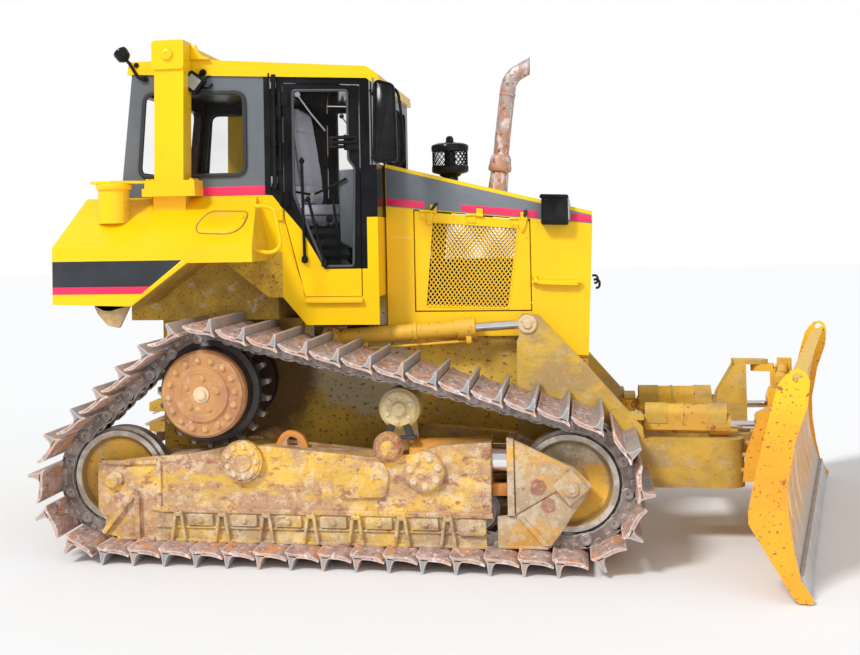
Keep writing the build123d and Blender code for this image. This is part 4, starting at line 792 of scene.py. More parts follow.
def bolts(places, radius, direction=OUT, height=None):
    """Bolt heads at every place."""
    return many(bolt_head(radius, height), places, direction)


def shifted(form, x):
    """A form moved ahead by x."""
    points, faces = form
    return points + (x, 0, 0), faces


def put(name, form, finish, body="machine", replaces=(), soft_edge=32):
    """Writes a form as an object in metres, faces outward, smooth where it turns less than soft_edge degrees."""
    points, faces = form
    mesh = bpy.data.meshes.new(name)
    mesh.from_pydata((np.asarray(points) * 0.001).tolist(), [], faces)
    shaped = bmesh.new()
    shaped.from_mesh(mesh)
    bmesh.ops.recalc_face_normals(shaped, faces=shaped.faces)
    shaped.to_mesh(mesh)
    shaped.free()
    if soft_edge:
        mesh.shade_smooth()
        mesh.set_sharp_from_angle(angle=radians(soft_edge))
    mesh.materials.append(finish)
    item = bpy.data.objects.new(name, mesh)
    bpy.context.scene.collection.objects.link(item)
    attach(item, body)
    if replaces:
        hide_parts(*replaces)
    return item


def put_pair(name, form, finish, body="machine", replaces=(), soft_edge=32):
    """The right side's piece as made, and its mirror image on the left."""
    points, faces = form
    for factor, word in ((1, "right"), (-1, "left")):
        own = body if body in ("machine", "c_frame") else body + "_" + word
        own_side = [node + "_" + word for node in replaces if node + "_" + word in NODES]
        nodes = own_side + [node for node in replaces if node in NODES and word == "right"]
        put(name + "_" + word, (points * (1, factor, 1), faces), finish, own, nodes, soft_edge)


# ---------------------------------------------------------------- tracks
TRACK_Y = 1000.0
SHOE_HALF = 380.0
WHEELS = ((-1855.0, 416.0, 295.0), (579.0, 416.0, 295.0), (-298.0, 797.0, 153.0), (-1333.0, 885.0, 291.0))
NOMINAL_PITCH = 171.0
END_RIM = 4.0                 # length over which links and shoes are drawn in at their ends


def belt_line(distances):
    """Places and outward normals on the chain's middle line, at distances along it.

    The line is the belt round four wheels: a straight run leaves each wheel where its normal is square to
    the run, and an arc turns from the last run's normal to the next one's.
    """
    wheels = np.array(WHEELS)
    ahead = np.roll(wheels, -1, 0)
    d = ahead[:, :2] - wheels[:, :2]
    long = np.linalg.norm(d, axis=1)
    unit = d / long[:, None]
    lean = (wheels[:, 2] - ahead[:, 2]) / long
    stand = np.sqrt(1 - lean ** 2)
    normal = np.stack([unit[:, 0] * lean + unit[:, 1] * stand, unit[:, 1] * lean - unit[:, 0] * stand], 1)
    angle = np.arctan2(normal[:, 1], normal[:, 0])
    start = np.roll(angle, 1)
    turn = (angle - start) % (2 * pi)
    runs = long * stand
    lengths = np.stack([wheels[:, 2] * turn, runs], 1).reshape(-1)
    ends = np.cumsum(lengths)
    s = np.asarray(distances, float) % ends[-1]
    index = np.searchsorted(ends, s, side="right")
    part = s - np.concatenate([[0], ends[:-1]])[index]
    w, straight = index // 2, index % 2 == 1
    a = np.where(straight, angle[w], start[w] + part / wheels[w, 2])
    n = np.stack([np.cos(a), np.sin(a)], 1)
    ahead_n = np.stack([-n[:, 1], n[:, 0]], 1)
    place = wheels[w, :2] + n * wheels[w, 2:] + np.where(straight, part, 0)[:, None] * ahead_n
    return place, n, ends[-1]


BELT_LONG = belt_line([0.0])[2]
SHOE_COUNT = round(BELT_LONG / NOMINAL_PITCH)
STEP = BELT_LONG / SHOE_COUNT


def along_belt(form, shift=0.0):
    """Copies of a form made as (along, across, out) at every shoe of the belt."""
    points, faces = form
    place, n, _ = belt_line((np.arange(SHOE_COUNT) + 0.5 + shift) * STEP)
    t = np.stack([-n[:, 1], n[:, 0]], 1)
    x = place[:, :1] + points[:, 0] * t[:, :1] + points[:, 2] * n[:, :1]
    z = place[:, 1:] + points[:, 0] * t[:, 1:] + points[:, 2] * n[:, 1:]
    y = np.broadcast_to(points[:, 1] - TRACK_Y, x.shape)
    return np.stack([x, y, z], 2).reshape(-1, 3), repeated(faces, SHOE_COUNT, len(points))


def shoe_form():
    """One shoe: a slightly dished plate whose trailing lip laps over the next, and the leaning bar across it."""
    sole = [(-0.50, 32), (-0.475, 40), (-0.41, 50), (-0.34, 56), (-0.05, 59), (0.15, 61), (0.34, 67), (0.53, 78),
            (0.552, 75), (0.548, 66), (0.40, 48), (0.28, 40), (0.0, 36), (-0.30, 35), (-0.43, 28), (-0.49, 24)]
    bar = [(-0.435, 44), (-0.415, 56), (-0.378, 96), (-0.366, 112), (-0.350, 120), (-0.325, 121), (-0.292, 121),
           (-0.272, 118), (-0.258, 108), (-0.230, 82), (-0.180, 66), (-0.12, 58), (-0.12, 48)]
    return tuple(across_belt(np.array(skin) * (STEP, 1), bevel, -SHOE_HALF, SHOE_HALF)
                 for skin, bevel in ((sole, 2.5), (bar, 3.0)))


def across_belt(outline, bevel, y0, y1):
    """A bar across the chain from y0 to y1 with an (along, out) outline, drawn in by bevel at both ends."""
    drawn = inset(outline, bevel)
    y = np.array([y0, y0 + END_RIM, y1 - END_RIM, y1])
    rims = np.stack([drawn, outline, outline, drawn])
    return loft(np.stack([rims[..., 0], np.broadcast_to(y[:, None], rims.shape[:2]), rims[..., 1]], 2))


def link_form(y0, y1):
    """One side link: a waisted plate between two pin bosses, drawn in at its rims."""
    skin = [(-0.66, -24), (-0.56, -42), (-0.36, -42), (-0.20, -30), (0.20, -30), (0.36, -42), (0.56, -42),
            (0.66, -24), (0.66, 22), (0.54, 38), (0.30, 43), (-0.30, 43), (-0.54, 38), (-0.66, 22)]
    return across_belt(rounded(np.array(skin) * (STEP, 1), 10, 3), 4.0, y0, y1)


def chain_forms():
    """Alternate link plates, pin bosses at every joint, and the shoe bolts' nuts in the links' windows."""
    outer = join(link_form(-94, -74), link_form(74, 94))
    end = [(0, 31), (10, 31), (13, 27), (13, 17), (9, 15), (9, 8)]
    boss = join(lathe(end, (0, -92, 0), OUT, 16), lathe(end, (0, 92, 0), IN, 16),
                lathe([(0, 26), (180, 26)], (0, -90, 0), IN, 12))
    nuts = join(*[block(x - 14, x + 14, y - 7, y + 7, 10, 40, 3) for x in (-30, 30) for y in (-95, 95)])
    return outer, boss, nuts


def dress_tracks():
    """Shoes, bars, links, pins, nuts and shoe bolts of both tracks."""
    sole, bar = shoe_form()
    put_pair("track_shoes", along_belt(sole), SHOE, replaces=("track",), soft_edge=40)
    put_pair("track_bars", along_belt(bar), BAR, soft_edge=40)
    outer, boss, nuts = chain_forms()
    inner = join(link_form(-74, -54), link_form(54, 74))
    put_pair("chain_links", join(along_belt(outer), along_belt(inner, 0.5)), CHAIN)
    put_pair("chain_pins", along_belt(boss, 0.5), CHAIN)
    put_pair("chain_nuts", along_belt(nuts), CHAIN)
    pads = bolts([(x, y, 57) for x in (-18, 42) for y in (-72, 72)], 14, UP, 12)
    put_pair("shoe_bolts", along_belt(pads), CHAIN)


# ---------------------------------------------------------------- running gear
HUB_X, HUB_Z, HUB_FACE = -1333.0, 885.0, -1259.0
FACE = -1142.0


def dress_running_gear():
    """Bolted covers of the hub, pivot shaft, frame and carrier roller, and the black seal ring behind the hub."""
    heads = join(bolts(ring_of(16, 183, HUB_X, HUB_FACE - 1, HUB_Z, 0.1), 15, height=15),
                 bolts(ring_of(5, 88, HUB_X, HUB_FACE - 12, HUB_Z, 1.45), 13, height=12))
    put_pair("hub_bolts", heads, HUB_BOLT)
    plug = [(0, 44), (5, 44), (8, 40), (8, 30), (20, 28), (24, 22), (24, 0.5)]
    put_pair("hub_plug", lathe(plug, (HUB_X, HUB_FACE - 12, HUB_Z), OUT, 24), PALE_CAP)
    step = [(0, 216), (3, 216), (5, 213), (5, 152), (8, 148), (16, 146), (19, 142), (19, 112), (16, 108), (16, 1)]
    put_pair("hub_cover", lathe(step, (HUB_X, HUB_FACE + 3, HUB_Z), OUT, 48), HUB)
    seal = [(0, 268), (10, 274), (64, 276), (70, 262), (78, 246), (150, 236)]
    put_pair("hub_seal", lathe(seal, (HUB_X, -1034, HUB_Z), OUT, 48), GREASE_BLACK)
    boss = [(0, 108), (30, 110), (40, 106), (46, 98), (46, 60), (52, 54), (52, 38), (47, 36), (47, 20), (50, 18),
            (50, 0.5)]
    put_pair("pivot_cover", lathe(boss, (-1142, FACE, 521), OUT, 40), FRAME_CAKED)
    put_pair("pivot_bolts", bolts(ring_of(9, 79, -1142, FACE - 45, 521), 12, height=13), BRIGHT_DUST)
    front = [(0, 104), (26, 106), (38, 100), (42, 92), (42, 52), (38, 46), (38, 0.5)]
    put_pair("front_cover", lathe(front, (-164, FACE, 480), OUT, 40), FRAME_CAKED)
    put_pair("front_bolts", bolts(ring_of(7, 74, -164, FACE - 41, 480, 0.3), 16, height=16), BRIGHT_DUST)
    ball = [(0, 80), (22, 82), (40, 76), (54, 62), (54, 34), (48, 30), (48, 0.5)]
    put_pair("ball_cap", lathe(ball, (-353, -1132, 600), (0, -1, 0.12), 28), RUSTY_CAST)
    carrier = [(0, 92), (8, 92), (12, 86), (12, 62), (6, 58), (6, 40), (22, 36), (26, 30), (26, 0.5)]
    put_pair("carrier_cover", lathe(carrier, (-298, -1118, 797), OUT, 32), IDLER_CAKED)
    put_pair("carrier_bolts", bolts(ring_of(6, 66, -298, -1130, 797, 0.4), 11, height=10), BRIGHT_DUST)
    legs = join(side([(-382, 640), (-340, 640), (-316, 722), (-352, 722)], -1102, 26, 3),
                side([(-256, 640), (-214, 640), (-246, 722), (-282, 722)], -1102, 26, 3),
                side([(-380, 640), (-210, 640), (-210, 658), (-380, 652)], -1098, 40, 3))
    put_pair("carrier_bracket", legs, GREASE_BLACK)


def ridge(path, wide=9.0, high=7.0):
    """A rounded weld or folded edge along (x, z) points of the track frame's face."""
    line = np.array([(x, FACE - high * 0.4, z) for x, z in path], float)
    return sweep(line, strap(wide, high, 5), IN)


def dress_track_frame():
    """Folded flange, ribs and gussets of the roller frame, its boss, cover, lifting ring and recoil housing."""
    flange = ridge([(-1652, 262), (-1600, 254), (-1480, 252), (-900, 252), (-300, 252), (184, 252)], 14, 10)
    rib = ridge([(-1612, 252), (-1610, 380), (-1612, 512)], 12, 12)
    lid = ridge([(-1931, 503), (-1780, 502), (-1624, 510)], 12, 12)
    gussets = join(ridge([(-1738, 348), (-1830, 238), (-1926, 122)], 13, 20),
                   ridge([(-1735, 350), (-1731, 220), (-1728, 92)], 13, 22),
                   ridge([(-1640, 94), (-1760, 94), (-1846, 94)], 8, 12))
    boss = lathe([(0, 42), (18, 42), (24, 38), (30, 30), (30, 0.5)], (-1875, FACE, 400), OUT, 24)
    corner = side([(-1936, 112), (-1880, 330), (-1740, 350), (-1720, 100), (-1850, 98)], FACE + 20, 23, 3, 8)
    put_pair("frame_flange", join(flange, rib, lid, gussets, boss, corner), FRAME_CAKED)
    shape = [(-655, 500), (-600, 548), (-380, 520), (-352, 470), (-372, 340), (-622, 330), (-650, 372)]
    cover = side(shape, FACE, 22, 4, 26)
    edge = rounded(np.array(shape, float), 26, 3)
    spots = inset(edge, 18)[::4]
    heads = bolts(np.stack([spots[:, 0], np.full(len(spots), FACE - 21), spots[:, 1]], 1), 8)
    put_pair("side_cover", join(cover, heads), FRAME_CAKED)
    arch = [(-968, -1040, 556), (-962, -1040, 596), (-930, -1040, 644), (-890, -1040, 652), (-845, -1040, 632),
            (-822, -1040, 590), (-818, -1040, 556)]
    eye = sweep(smooth_path(arch, 5), strap(17, 22, 9), IN)
    put_pair("lifting_ring", eye, ORANGE_PAINT)
    collar = side(rect(132, 180, 262, 600), FACE, 16, 4, 10)
    nuts = bolts([(156, FACE - 16, 560), (156, FACE - 16, 455)], 14)
    shell = lathe([(0, 122), (6, 128), (424, 132), (432, 126)], (-254, -1000, 500), AHEAD, 36)
    put_pair("recoil_flange", join(collar, nuts), FRAME_CAKED)
    put_pair("recoil_housing", shell, HOUSING_DUST)


def dress_roller_guard():
    """Bolted blocks between leaning pairs of ribs, over a skirt with a rolled lower edge."""
    middles = -1500 + 242.0 * np.arange(7)
    leg_right = side([(8, 238), (24, 238), (46, 88), (30, 88)], FACE, 32, 3)
    leg_left = side([(-24, 238), (-8, 238), (-30, 88), (-46, 88)], FACE, 32, 3)
    head = side([(-26, 222), (26, 222), (22, 244), (-22, 244)], FACE, 34, 4)
    pair = join(leg_right, leg_left, head)
    forms = [shifted(pair, x) for x in middles]
    pad = join(side(rect(-70, 70, 172, 234), FACE, 22, 4, 8),
               bolts([(0, FACE - 22, 204)], 15, height=14))
    forms += [shifted(pad, x + 121) for x in middles[:6]]
    forms.append(join(side(rect(2, 148, 150, 234), FACE, 24, 4, 22),
                      bolts([(76, FACE - 24, 196)], 16, height=14)))
    lip = ridge([(-1630, 92), (-700, 90), (148, 90)], 9, 10)
    ledge = side(rect(-1630, 150, 156, 168), FACE, 12, 3)
    put_pair("guard_ribs", join(lip, ledge, *forms), GUARD_CAKED)


def turned_axes(angle):
    """Ahead and up, turned by degrees in the side's plane."""
    turn = radians(angle)
    return (cos(turn), 0, sin(turn)), (-sin(turn), 0, cos(turn))


def dress_idler_yoke():
    """Front yoke: rear flange, fork plate, bearing block set on its corner, lower guard with its rib, recoil rod."""
    flange = side([(262, 258), (298, 258), (298, 652), (262, 660)], FACE, 30, 5)
    fork = side([(298, 645), (330, 634), (578, 515), (610, 470), (500, 380), (302, 264)], FACE, 14, 4)
    guard = side([(212, 244), (300, 252), (502, 374), (560, 322), (596, 278), (548, 196), (468, 92), (212, 92)],
                 FACE, 9, 3)
    rib = side([(316, 246), (340, 258), (474, 108), (440, 104)], FACE, 26, 4)
    foot = ridge([(212, 96), (340, 96), (462, 96)], 8, 14)
    bearing = plate(rect(-66, 66, -66, 66), (585, FACE - 6, 408), *turned_axes(40), 30, 5, 10)
    boss = lathe([(0, 40), (12, 40), (16, 36), (16, 26), (22, 24), (22, 0.5)], (585, FACE - 36, 404), OUT, 24)
    heads = bolts([(560, FACE - 14, 505)], 12)
    put_pair("yoke_plates", join(flange, fork, guard, rib, foot, bearing, boss, heads), YOKE_CAKED)
    tie = block(180, 262, -1100, -1060, 346, 410, 6)
    put_pair("recoil_tie", tie, ORANGE_PAINT)
    put_pair("recoil_rod", lathe([(0, 82), (84, 82)], (178, -1000, 524), AHEAD, 40), CHROME)


# ---------------------------------------------------------------- hood
HOOD_SIDE = -450.0
HOOD_REAR, HOOD_LONG = -440, 1171
HOOD_EDGE = (2127, 1829)       # heights of the hood's upper edge at its rear and front
BAND_EDGE = (1878, 1756)       # and those of the coloured band's lower edge


def hood_z(x, heights=HOOD_EDGE):
    """The height of a straight edge of the hood's side at x."""
    rear, front = heights
    return rear + (front - rear) * (x - HOOD_REAR) / HOOD_LONG


def band_z(x):
    """The height of the band's lower edge at x."""
    return hood_z(x, BAND_EDGE)


def strip(x0, x1, low, high):
    """A film on the hood's side between two heights over the band's lower edge."""
    return side([(x0, band_z(x0) + low), (x1, band_z(x1) + low), (x1, band_z(x1) + high), (x0, band_z(x0) + high)],
                HOOD_SIDE, 1.2, 0.3)


def dress_hood():
    """Films of the hood's band, latches with their lugs, the panel's handle, the fire wall and the front hook."""
    face, x0, x1, lip = HOOD_SIDE, -438, 728, 22.0
    film = side([(x0, band_z(x0) + 4), (x1, band_z(x1) + 4), (x1, hood_z(x1) - lip), (x0, hood_z(x0) - lip)],
                face, 0.8, 0.2)
    put_pair("hood_film", film, SLATE)
    stripes = [strip(start, end, 10, 50) for start, end in ((x0, -215), (-5, 430), (612, x1))]
    put_pair("hood_stripe", join(*stripes), RED)
    latch, lug = [], []
    for x, z, lean in ((-178, 1850, 28), (352, 1800, 4)):
        latch.append(side([(x - 6, z + 4), (x + 14, z + 4), (x + 16 + lean, z + 44), (x + lean - 4, z + 44)],
                          face - 6, 12, 4, 7))
        lug.append(side([(x - 34, z - 10), (x + 16, z - 12), (x + 6, z - 56), (x - 6, z - 84), (x - 24, z - 80),
                         (x - 32, z - 40)],
                        face - 2, 12, 4, 9))
        lug.append(bolts([(x - 10, face - 13, z - 60)], 8))
    put_pair("latch_lugs", join(*lug), PAINT, body="grille_door")
    grip = tube([(404, face - 2, 1466), (408, face - 22, 1454), (420, face - 34, 1434), (450, face - 34, 1426),
                 (530, face - 34, 1422), (610, face - 34, 1419), (636, face - 30, 1419), (648, face - 2, 1424)], 9, 4)
    feet = join(*[lathe([(0, 17), (5, 17), (8, 13), (8, 1)], (x, face, z), OUT, 16)
                  for x, z in ((404, 1468), (649, 1424))])
    put_pair("panel_handle", join(grip, feet), PAINT)
    seam = side([(-430, 1702), (-296, 1692), (-296, 1696), (-430, 1706)], face, 1.5, 0.4)
    put_pair("panel_seam", seam, PALE_CAP)
    wall = block(-540, -445, -425, 425, 1190, 1430, 8)
    put("fire_wall", wall, CHASSIS)
    put_pair("hood_latches", join(*latch), RUBBER)
    hook = tube([(731, -380, 1440), (752, -380, 1442), (764, -380, 1425), (760, -380, 1400), (742, -380, 1392)], 7, 4)
    put_pair("front_hook", hook, BLACK)


def leant(shares, corners):
    """Points of a four-cornered window at shares (s, t): (1-s)(1-t) a + s(1-t) b + st c + (1-s)t d."""
    s, t = shares[:, :1], shares[:, 1:]
    a, b, c, d = corners
    return (1 - s) * (1 - t) * a + s * (1 - t) * b + s * t * c + (1 - s) * t * d


MESH_Y = -441.0


def dress_grille():
    """Fine diamond mesh over the grille door: two families of thin bars clipped to the door's window."""
    wide, high = 480.0, 470.0          # the window laid flat
    spacing, slope, half_bar, layer = 25.0, 0.76, 3.2, 1.6
    window = np.array([(-215, 1306), (252, 1290), (313, 1740), (-172, 1782)], float)
    run = high * slope
    forms = []
    for lean in (-1, 1):
        first = np.arange(-run, wide + run, spacing)
        t0 = np.clip(np.where(lean > 0, -first / run, (first - wide) / run), 0, 1)
        t1 = np.clip(np.where(lean > 0, (wide - first) / run, first / run), 0, 1)
        keep = t1 - t0 > 0.01
        first, t0, t1 = first[keep], t0[keep], t1[keep]
        low = np.stack([first + lean * run * t0, high * t0], 1)
        top = np.stack([first + lean * run * t1, high * t1], 1)
        n = np.array([high, -lean * run]) / np.hypot(high, run) * half_bar
        y = MESH_Y + lean * layer
        ends = []
        for flat in (low, top):
            place = leant(flat / (wide, high), window)
            corners = [np.column_stack([place + s * n, np.full(len(flat), y + q)])[:, [0, 2, 1]]
                       for s, q in rect(-1, 1, 0, 3)]
            ends.append(np.stack(corners, 1))
        forms += [loft(np.stack([a, b])) for a, b in zip(*ends)]
    put_pair("grille_mesh", join(*forms), MESH, body="grille_door", soft_edge=0)
    outline = [(-276, 1275), (380, 1275), (380, band_z(380) - 10), (-276, band_z(-276) - 10)]
    rim = framed(inset(window, -3.5), 8, 5, 3, -451)
    knuckles = []
    for x in (-215, 50, 300):
        z = band_z(x) - 5
        knuckles += [lathe([(0, 7), (2, 8), (58, 8), (60, 7)], (x - 30, -459, z), AHEAD, 16),
                     side([(x - 28, z - 50), (x + 28, z - 50), (x + 28, z), (x - 28, z)], -450, 7, 2, 6),
                     bolts([(x - 14, -457, z - 34), (x + 14, -457, z - 34)], 7)]
    door = pierced(outline, window, -428, 22, 2.5)
    put_pair("grille_frame", join(door, rim, *knuckles), PAINT, body="grille_door", replaces=("grille_door",))


def pierced(outline, window, y, thick, bevel):
    """A plate with a window: a closed skin through its outer rims and back through the window's rims."""
    outer, inner = rounded(outline, 6), rounded(window, 6)
    rims = [(outer, y), (outer, y - thick + bevel), (inset(outer, bevel), y - thick),
            (inset(inner, -bevel), y - thick), (inner, y - thick + bevel), (inner, y)]
    rings = [np.stack([ring[:, 0], np.full(len(ring), float(at)), ring[:, 1]], 1) for ring, at in rims]
    return loft(np.stack(rings), loop=True)


def dress_precleaner():
    """Neck, lower ring, dark drum in a cage of crossed bars, cap and knob."""
    x, y = -93.0, -120.0
    neck = lathe([(0, 46), (66, 46), (72, 60), (82, 66), (90, 98), (96, 108), (104, 110), (128, 110), (134, 104),
                  (134, 60), (128, 40), (128, 1)], (x, y, 1990), UP, 32)
    drum = lathe([(0, 34), (100, 34)], (x, y, 2116), UP, 16)
    cap = lathe([(0, 102), (4, 110), (30, 112), (42, 106), (52, 80), (56, 34), (62, 24), (84, 22), (94, 14),
                 (98, 1)], (x, y, 2206), UP, 32)
    count, twist, radius, low, high = 22, 0.75, 104, 2118, 92
    rise = np.linspace(0, 1, 7).reshape(1, -1, 1)
    bars = []
    for lean in (-1, 1):
        a = np.linspace(0, 2 * pi, count, endpoint=False)[:, None, None] + lean * rise * twist
        centre = np.concatenate([x + radius * np.cos(a), y + radius * np.sin(a), low + 0 * a + rise * high], 2)
        out = np.concatenate([np.cos(a), np.sin(a), 0 * a], 2)
        flat = np.concatenate([-np.sin(a), np.cos(a), 0 * a], 2)
        ring = np.stack([centre + p * out + q * flat for p, q in rect(-2, 2, -2.5, 2.5)], 2)
        bars += [loft(bar) for bar in ring]
    put("precleaner_cage", join(neck, drum, cap, *bars), BLACK, replaces=("precleaner",))


TIP_X = 385
PIPE_LEAN = (0.118, 0, 0.993)


def cut_rings(radius, line):
    """Circles square to a line, cut off upright where they pass TIP_X."""
    ahead = np.gradient(line, axis=0)
    ahead /= np.linalg.norm(ahead, axis=1, keepdims=True)
    out = np.array([0.0, 1.0, 0.0])
    section = circle(radius, 28)
    ring = line[:, None] + section[None, :, :1] * out + section[None, :, 1:] * np.cross(out, ahead)[:, None]
    ring[..., 0] = np.minimum(ring[..., 0], TIP_X)
    return ring


def dress_exhaust():
    """A pipe with a bent tip: circles carried along the bend, cut off upright, and turned back inside."""
    path = smooth_path([(170, 60, 1930), (214, 60, 2300), (248, 60, 2560), (262, 60, 2628), (296, 60, 2676),
                        (345, 60, 2705), (420, 60, 2742)], 6)
    pipe = loft(np.concatenate([cut_rings(47, path), cut_rings(42, path[::-1][:20])]))
    collar = lathe([(0, 50), (4, 64), (12, 70), (30, 70), (42, 66), (84, 62), (100, 55), (106, 49)], (190, 60, 2086),
                   PIPE_LEAN, 28)
    foot = lathe([(0, 60), (120, 55), (126, 48)], (176, 60, 1962), PIPE_LEAN, 28)
    seam = lathe([(0, 48), (4, 51), (9, 51), (13, 48)], (247, 60, 2548), (0.14, 0, 0.99), 28)
    put("exhaust_pipe", join(pipe, collar, foot, seam), STACK, replaces=("exhaust",), soft_edge=50)


# ---------------------------------------------------------------- cab
WALL = -720.0
LEVERS = ((-877.0, 2161.0, -868.0, 1580.0), (-845.0, 1942.0, -755.0, 1556.0))   # x, z of both ends


def framed(outline, corner, wide, deep, y):
    """A closed bead carried round an (x, z) outline with rounded corners, on the face at y."""
    ring = rounded(np.array(outline, float), corner, 6)
    line = np.stack([ring[:, 0], np.full(len(ring), y), ring[:, 1]], 1)
    return sweep(line, strap(wide, deep, 4), IN, True)


def upright(x, y, z0, z1, radius):
    """A round bar that stands between two heights."""
    return lathe([(0, radius - 1), (1, radius), (z1 - z0 - 1, radius), (z1 - z0, radius - 1)], (x, y, z0), UP, 14)


def dress_cab():
    """Window gaskets, stripe, hinge tubes with collars, door handle, wiper, console plate and levers."""
    window = [(-1838, 2075), (-1208, 2075), (-1208, 2545), (-1800, 2560)]
    put_pair("window_gasket", framed(window, 58, 12, 9, WALL - 4), RUBBER)
    door = [(-925, 1951), (-756, 1545), (-590, 1545), (-575, 2100), (-610, 2141), (-610, 2535), (-925, 2545)]
    put_pair("door_gasket", framed(door, 18, 7, 7, WALL - 5), DARK_TRIM, "cab_door")
    put_pair("cab_stripe", side(rect(-1500, -1078, 1958, 2008), WALL, 1.6, 0.4), RED)
    tubes = join(upright(-1034, WALL - 14, 1985, 2640, 13), upright(-1062, WALL - 8, 1960, 2650, 7),
                 *[upright(-1034, WALL - 14, z, z + 26, 19) for z in (1992, 2228, 2372, 2600)],
                 block(-1094, -1048, WALL - 6, WALL, 1960, 2652, 3))
    put_pair("hinge_tubes", tubes, BLACK)
    plates = join(*[block(-1058, -1020, WALL - 12, WALL - 1, z, z + 60, 3) for z in (2000, 2560)])
    put_pair("hinge_plates", plates, GREY_RUBBER)
    grip = join(*[rod([(-705, WALL - 34, z), (-640, WALL - 36, z + 1), (end, WALL - 36, z + 2)], r)
                  for z, end, r in ((2266, -552, 11), (2214, -628, 10))],
                block(-632, -548, WALL - 26, WALL - 1, 2196, 2286, 6),
                block(-712, -690, WALL - 40, WALL - 26, 2206, 2274, 5),
                lathe(button(17, 16), (-560, WALL - 26, 2246), OUT, 18))
    put_pair("door_handle", grip, BLACK, "cab_door")
    wiper = join(sweep([(-894, WALL - 14, 2518), (-820, WALL - 16, 2412), (-738, WALL - 14, 2309)],
                       strap(4, 3, 2), IN),
                 lathe(button(16, 16, 1), (-894, WALL - 2, 2520), OUT, 16))
    put_pair("door_wiper", wiper, GREY_RUBBER, "cab_door")
    put_pair("front_pillar", join(upright(-462, WALL - 6, 2110, 2600, 9), upright(-482, WALL - 4, 2110, 2602, 5)),
             GREY_RUBBER)
    sill = join(sweep([(-868, WALL - 16, 1352), (-700, WALL - 16, 1352), (-541, WALL - 16, 1352)],
                      strap(14, 14, 7), IN),
                sweep([(-1003, WALL - 3, 1800), (-935, WALL - 3, 1580), (-866, WALL - 3, 1372)],
                      strap(3, 3, 1.5), IN))
    put_pair("door_step", sill, PAINT)
    inside = side([(-714, 2100), (-604, 2104), (-640, 1640), (-709, 1684)], -430, 26, 5, 12)
    put("side_console", inside, SLATE)
    levers = [rod([(x0, -450, z0), ((x0 + x1) / 2 - 4, -452, (z0 + z1) / 2), (x1, -450, z1)], 8)
              for x0, z0, x1, z1 in ((-990, 1960, -950, 1600), (-753, 1959, -721, 1708))]
    levers.append(rod([(-985, -470, 1980), (-868, -470, 1958), (-760, -470, 2000), (-668, -470, 2050)], 7))
    knobs = [lathe([(0, 6), (8, 18), (24, 22), (38, 17), (44, 1)], (x, -450, z), (0, 0, -1), 16)
             for x, z in ((-949, 1610), (-774, 1838))]
    y = WALL - 16
    rods = join(*[rod([(x0, y, z0), ((x0 + x1) / 2, y - 2, (z0 + z1) / 2), (x1, y, z1)], 9)
                  for x0, z0, x1, z1 in LEVERS],
                *[lathe([(0, 6), (10, 17), (34, 19), (44, 13), (46, 1)], (x1, y, z1 + 30), (0, 0, -1), 16)
                  for _, _, x1, z1 in LEVERS],
                *[lathe(button(15, 18, 1), (x0, WALL, z0 - 20), OUT, 16) for x0, z0, _, _ in LEVERS])
    put_pair("door_rods", rods, BLACK, "cab_door")
    put("cab_levers", join(*levers, *knobs), BLACK)
    ends = [lathe([(0, 5), (4, 13), (16, 13), (20, 4)], p, OUT, 14)
            for p in ((-985, -466, 1980), (-868, -466, 1958))]
    put("lever_ends", join(*ends), PALE_CAP)


def dress_lamps():
    """Tilted work lamps with grey lenses and stubs, hood lamps with lens and brow, and the rear lamp on its stalk."""
    u, v = turned_axes(-38)
    y = WALL - 78.0
    square, lens_edge = rect(-50, 50, -50, 50), rect(-36, 36, -36, 36)
    housing = join(plate(square, (-1490, y + 64, 2608), u, v, 62, 6, 10),
                   framed_square(square, (-1490, y + 2, 2608), u, v, 7))
    bracket = join(tube([(-1470, y + 60, 2640), (-1452, y + 50, 2668), (-1440, WALL - 2, 2676)], 9, 4),
                   tube([(-1448, y + 56, 2600), (-1424, y + 50, 2632), (-1400, WALL + 2, 2652)], 6, 4),
                   tube([(-1452, y + 56, 2580), (-1412, y + 56, 2576), (-1396, WALL + 2, 2600)], 7, 4),
                   lathe(button(20, 20), (-1446, WALL - 1, 2668), OUT, 16))
    put_pair("cab_lamp", join(housing, bracket), BLACK, replaces=("work_lamps",))
    put_pair("cab_lamp_lens", plate(lens_edge, (-1490, y + 2, 2608), u, v, 4, 1, 6), LENS)
    face = HOOD_SIDE
    shell = join(side([(447, 1757), (600, 1753), (596, 1916), (452, 1922)], face - 1, 82, 8, 14),
                 side([(440, 1908), (606, 1902), (600, 1924), (446, 1930)], face - 10, 78, 5, 8),
                 side([(462, 1774), (584, 1770), (582, 1898), (466, 1902)], face - 82, 6, 2, 10))
    put_pair("hood_lamp", shell, BLACK)
    front = plate(rect(-34, 34, -58, 58), (599, face - 44, 1838), IN, UP, 8, 2, 8)
    put_pair("hood_lamp_lens", front, LENS)
    rear = join(tube([(-1796, WALL - 20, 2644), (-1828, WALL - 26, 2652), (-1852, WALL - 26, 2684),
                      (-1880, WALL - 26, 2730), (-1908, WALL - 26, 2765)], 10, 5),
                lathe([(0, 14), (10, 30), (22, 40), (60, 44), (74, 40), (80, 30), (80, 0.5)],
                      (-1902, WALL - 26, 2753), (-0.45, 0.05, 0.62), 20),
                lathe(button(18, 20), (-1796, WALL - 2, 2644), OUT, 16))
    put("rear_lamp", rear, BLACK)


def framed_square(square, origin, u, v, wide):
    """A raised bead round a flat square, in the plane of u and v."""
    ring = rounded(np.array(square, float) * 0.90, 8, 4)
    line = np.asarray(origin, float) + ring[:, :1] * np.asarray(u) + ring[:, 1:] * np.asarray(v)
    return sweep(line, strap(wide, 5, 3), IN, True)


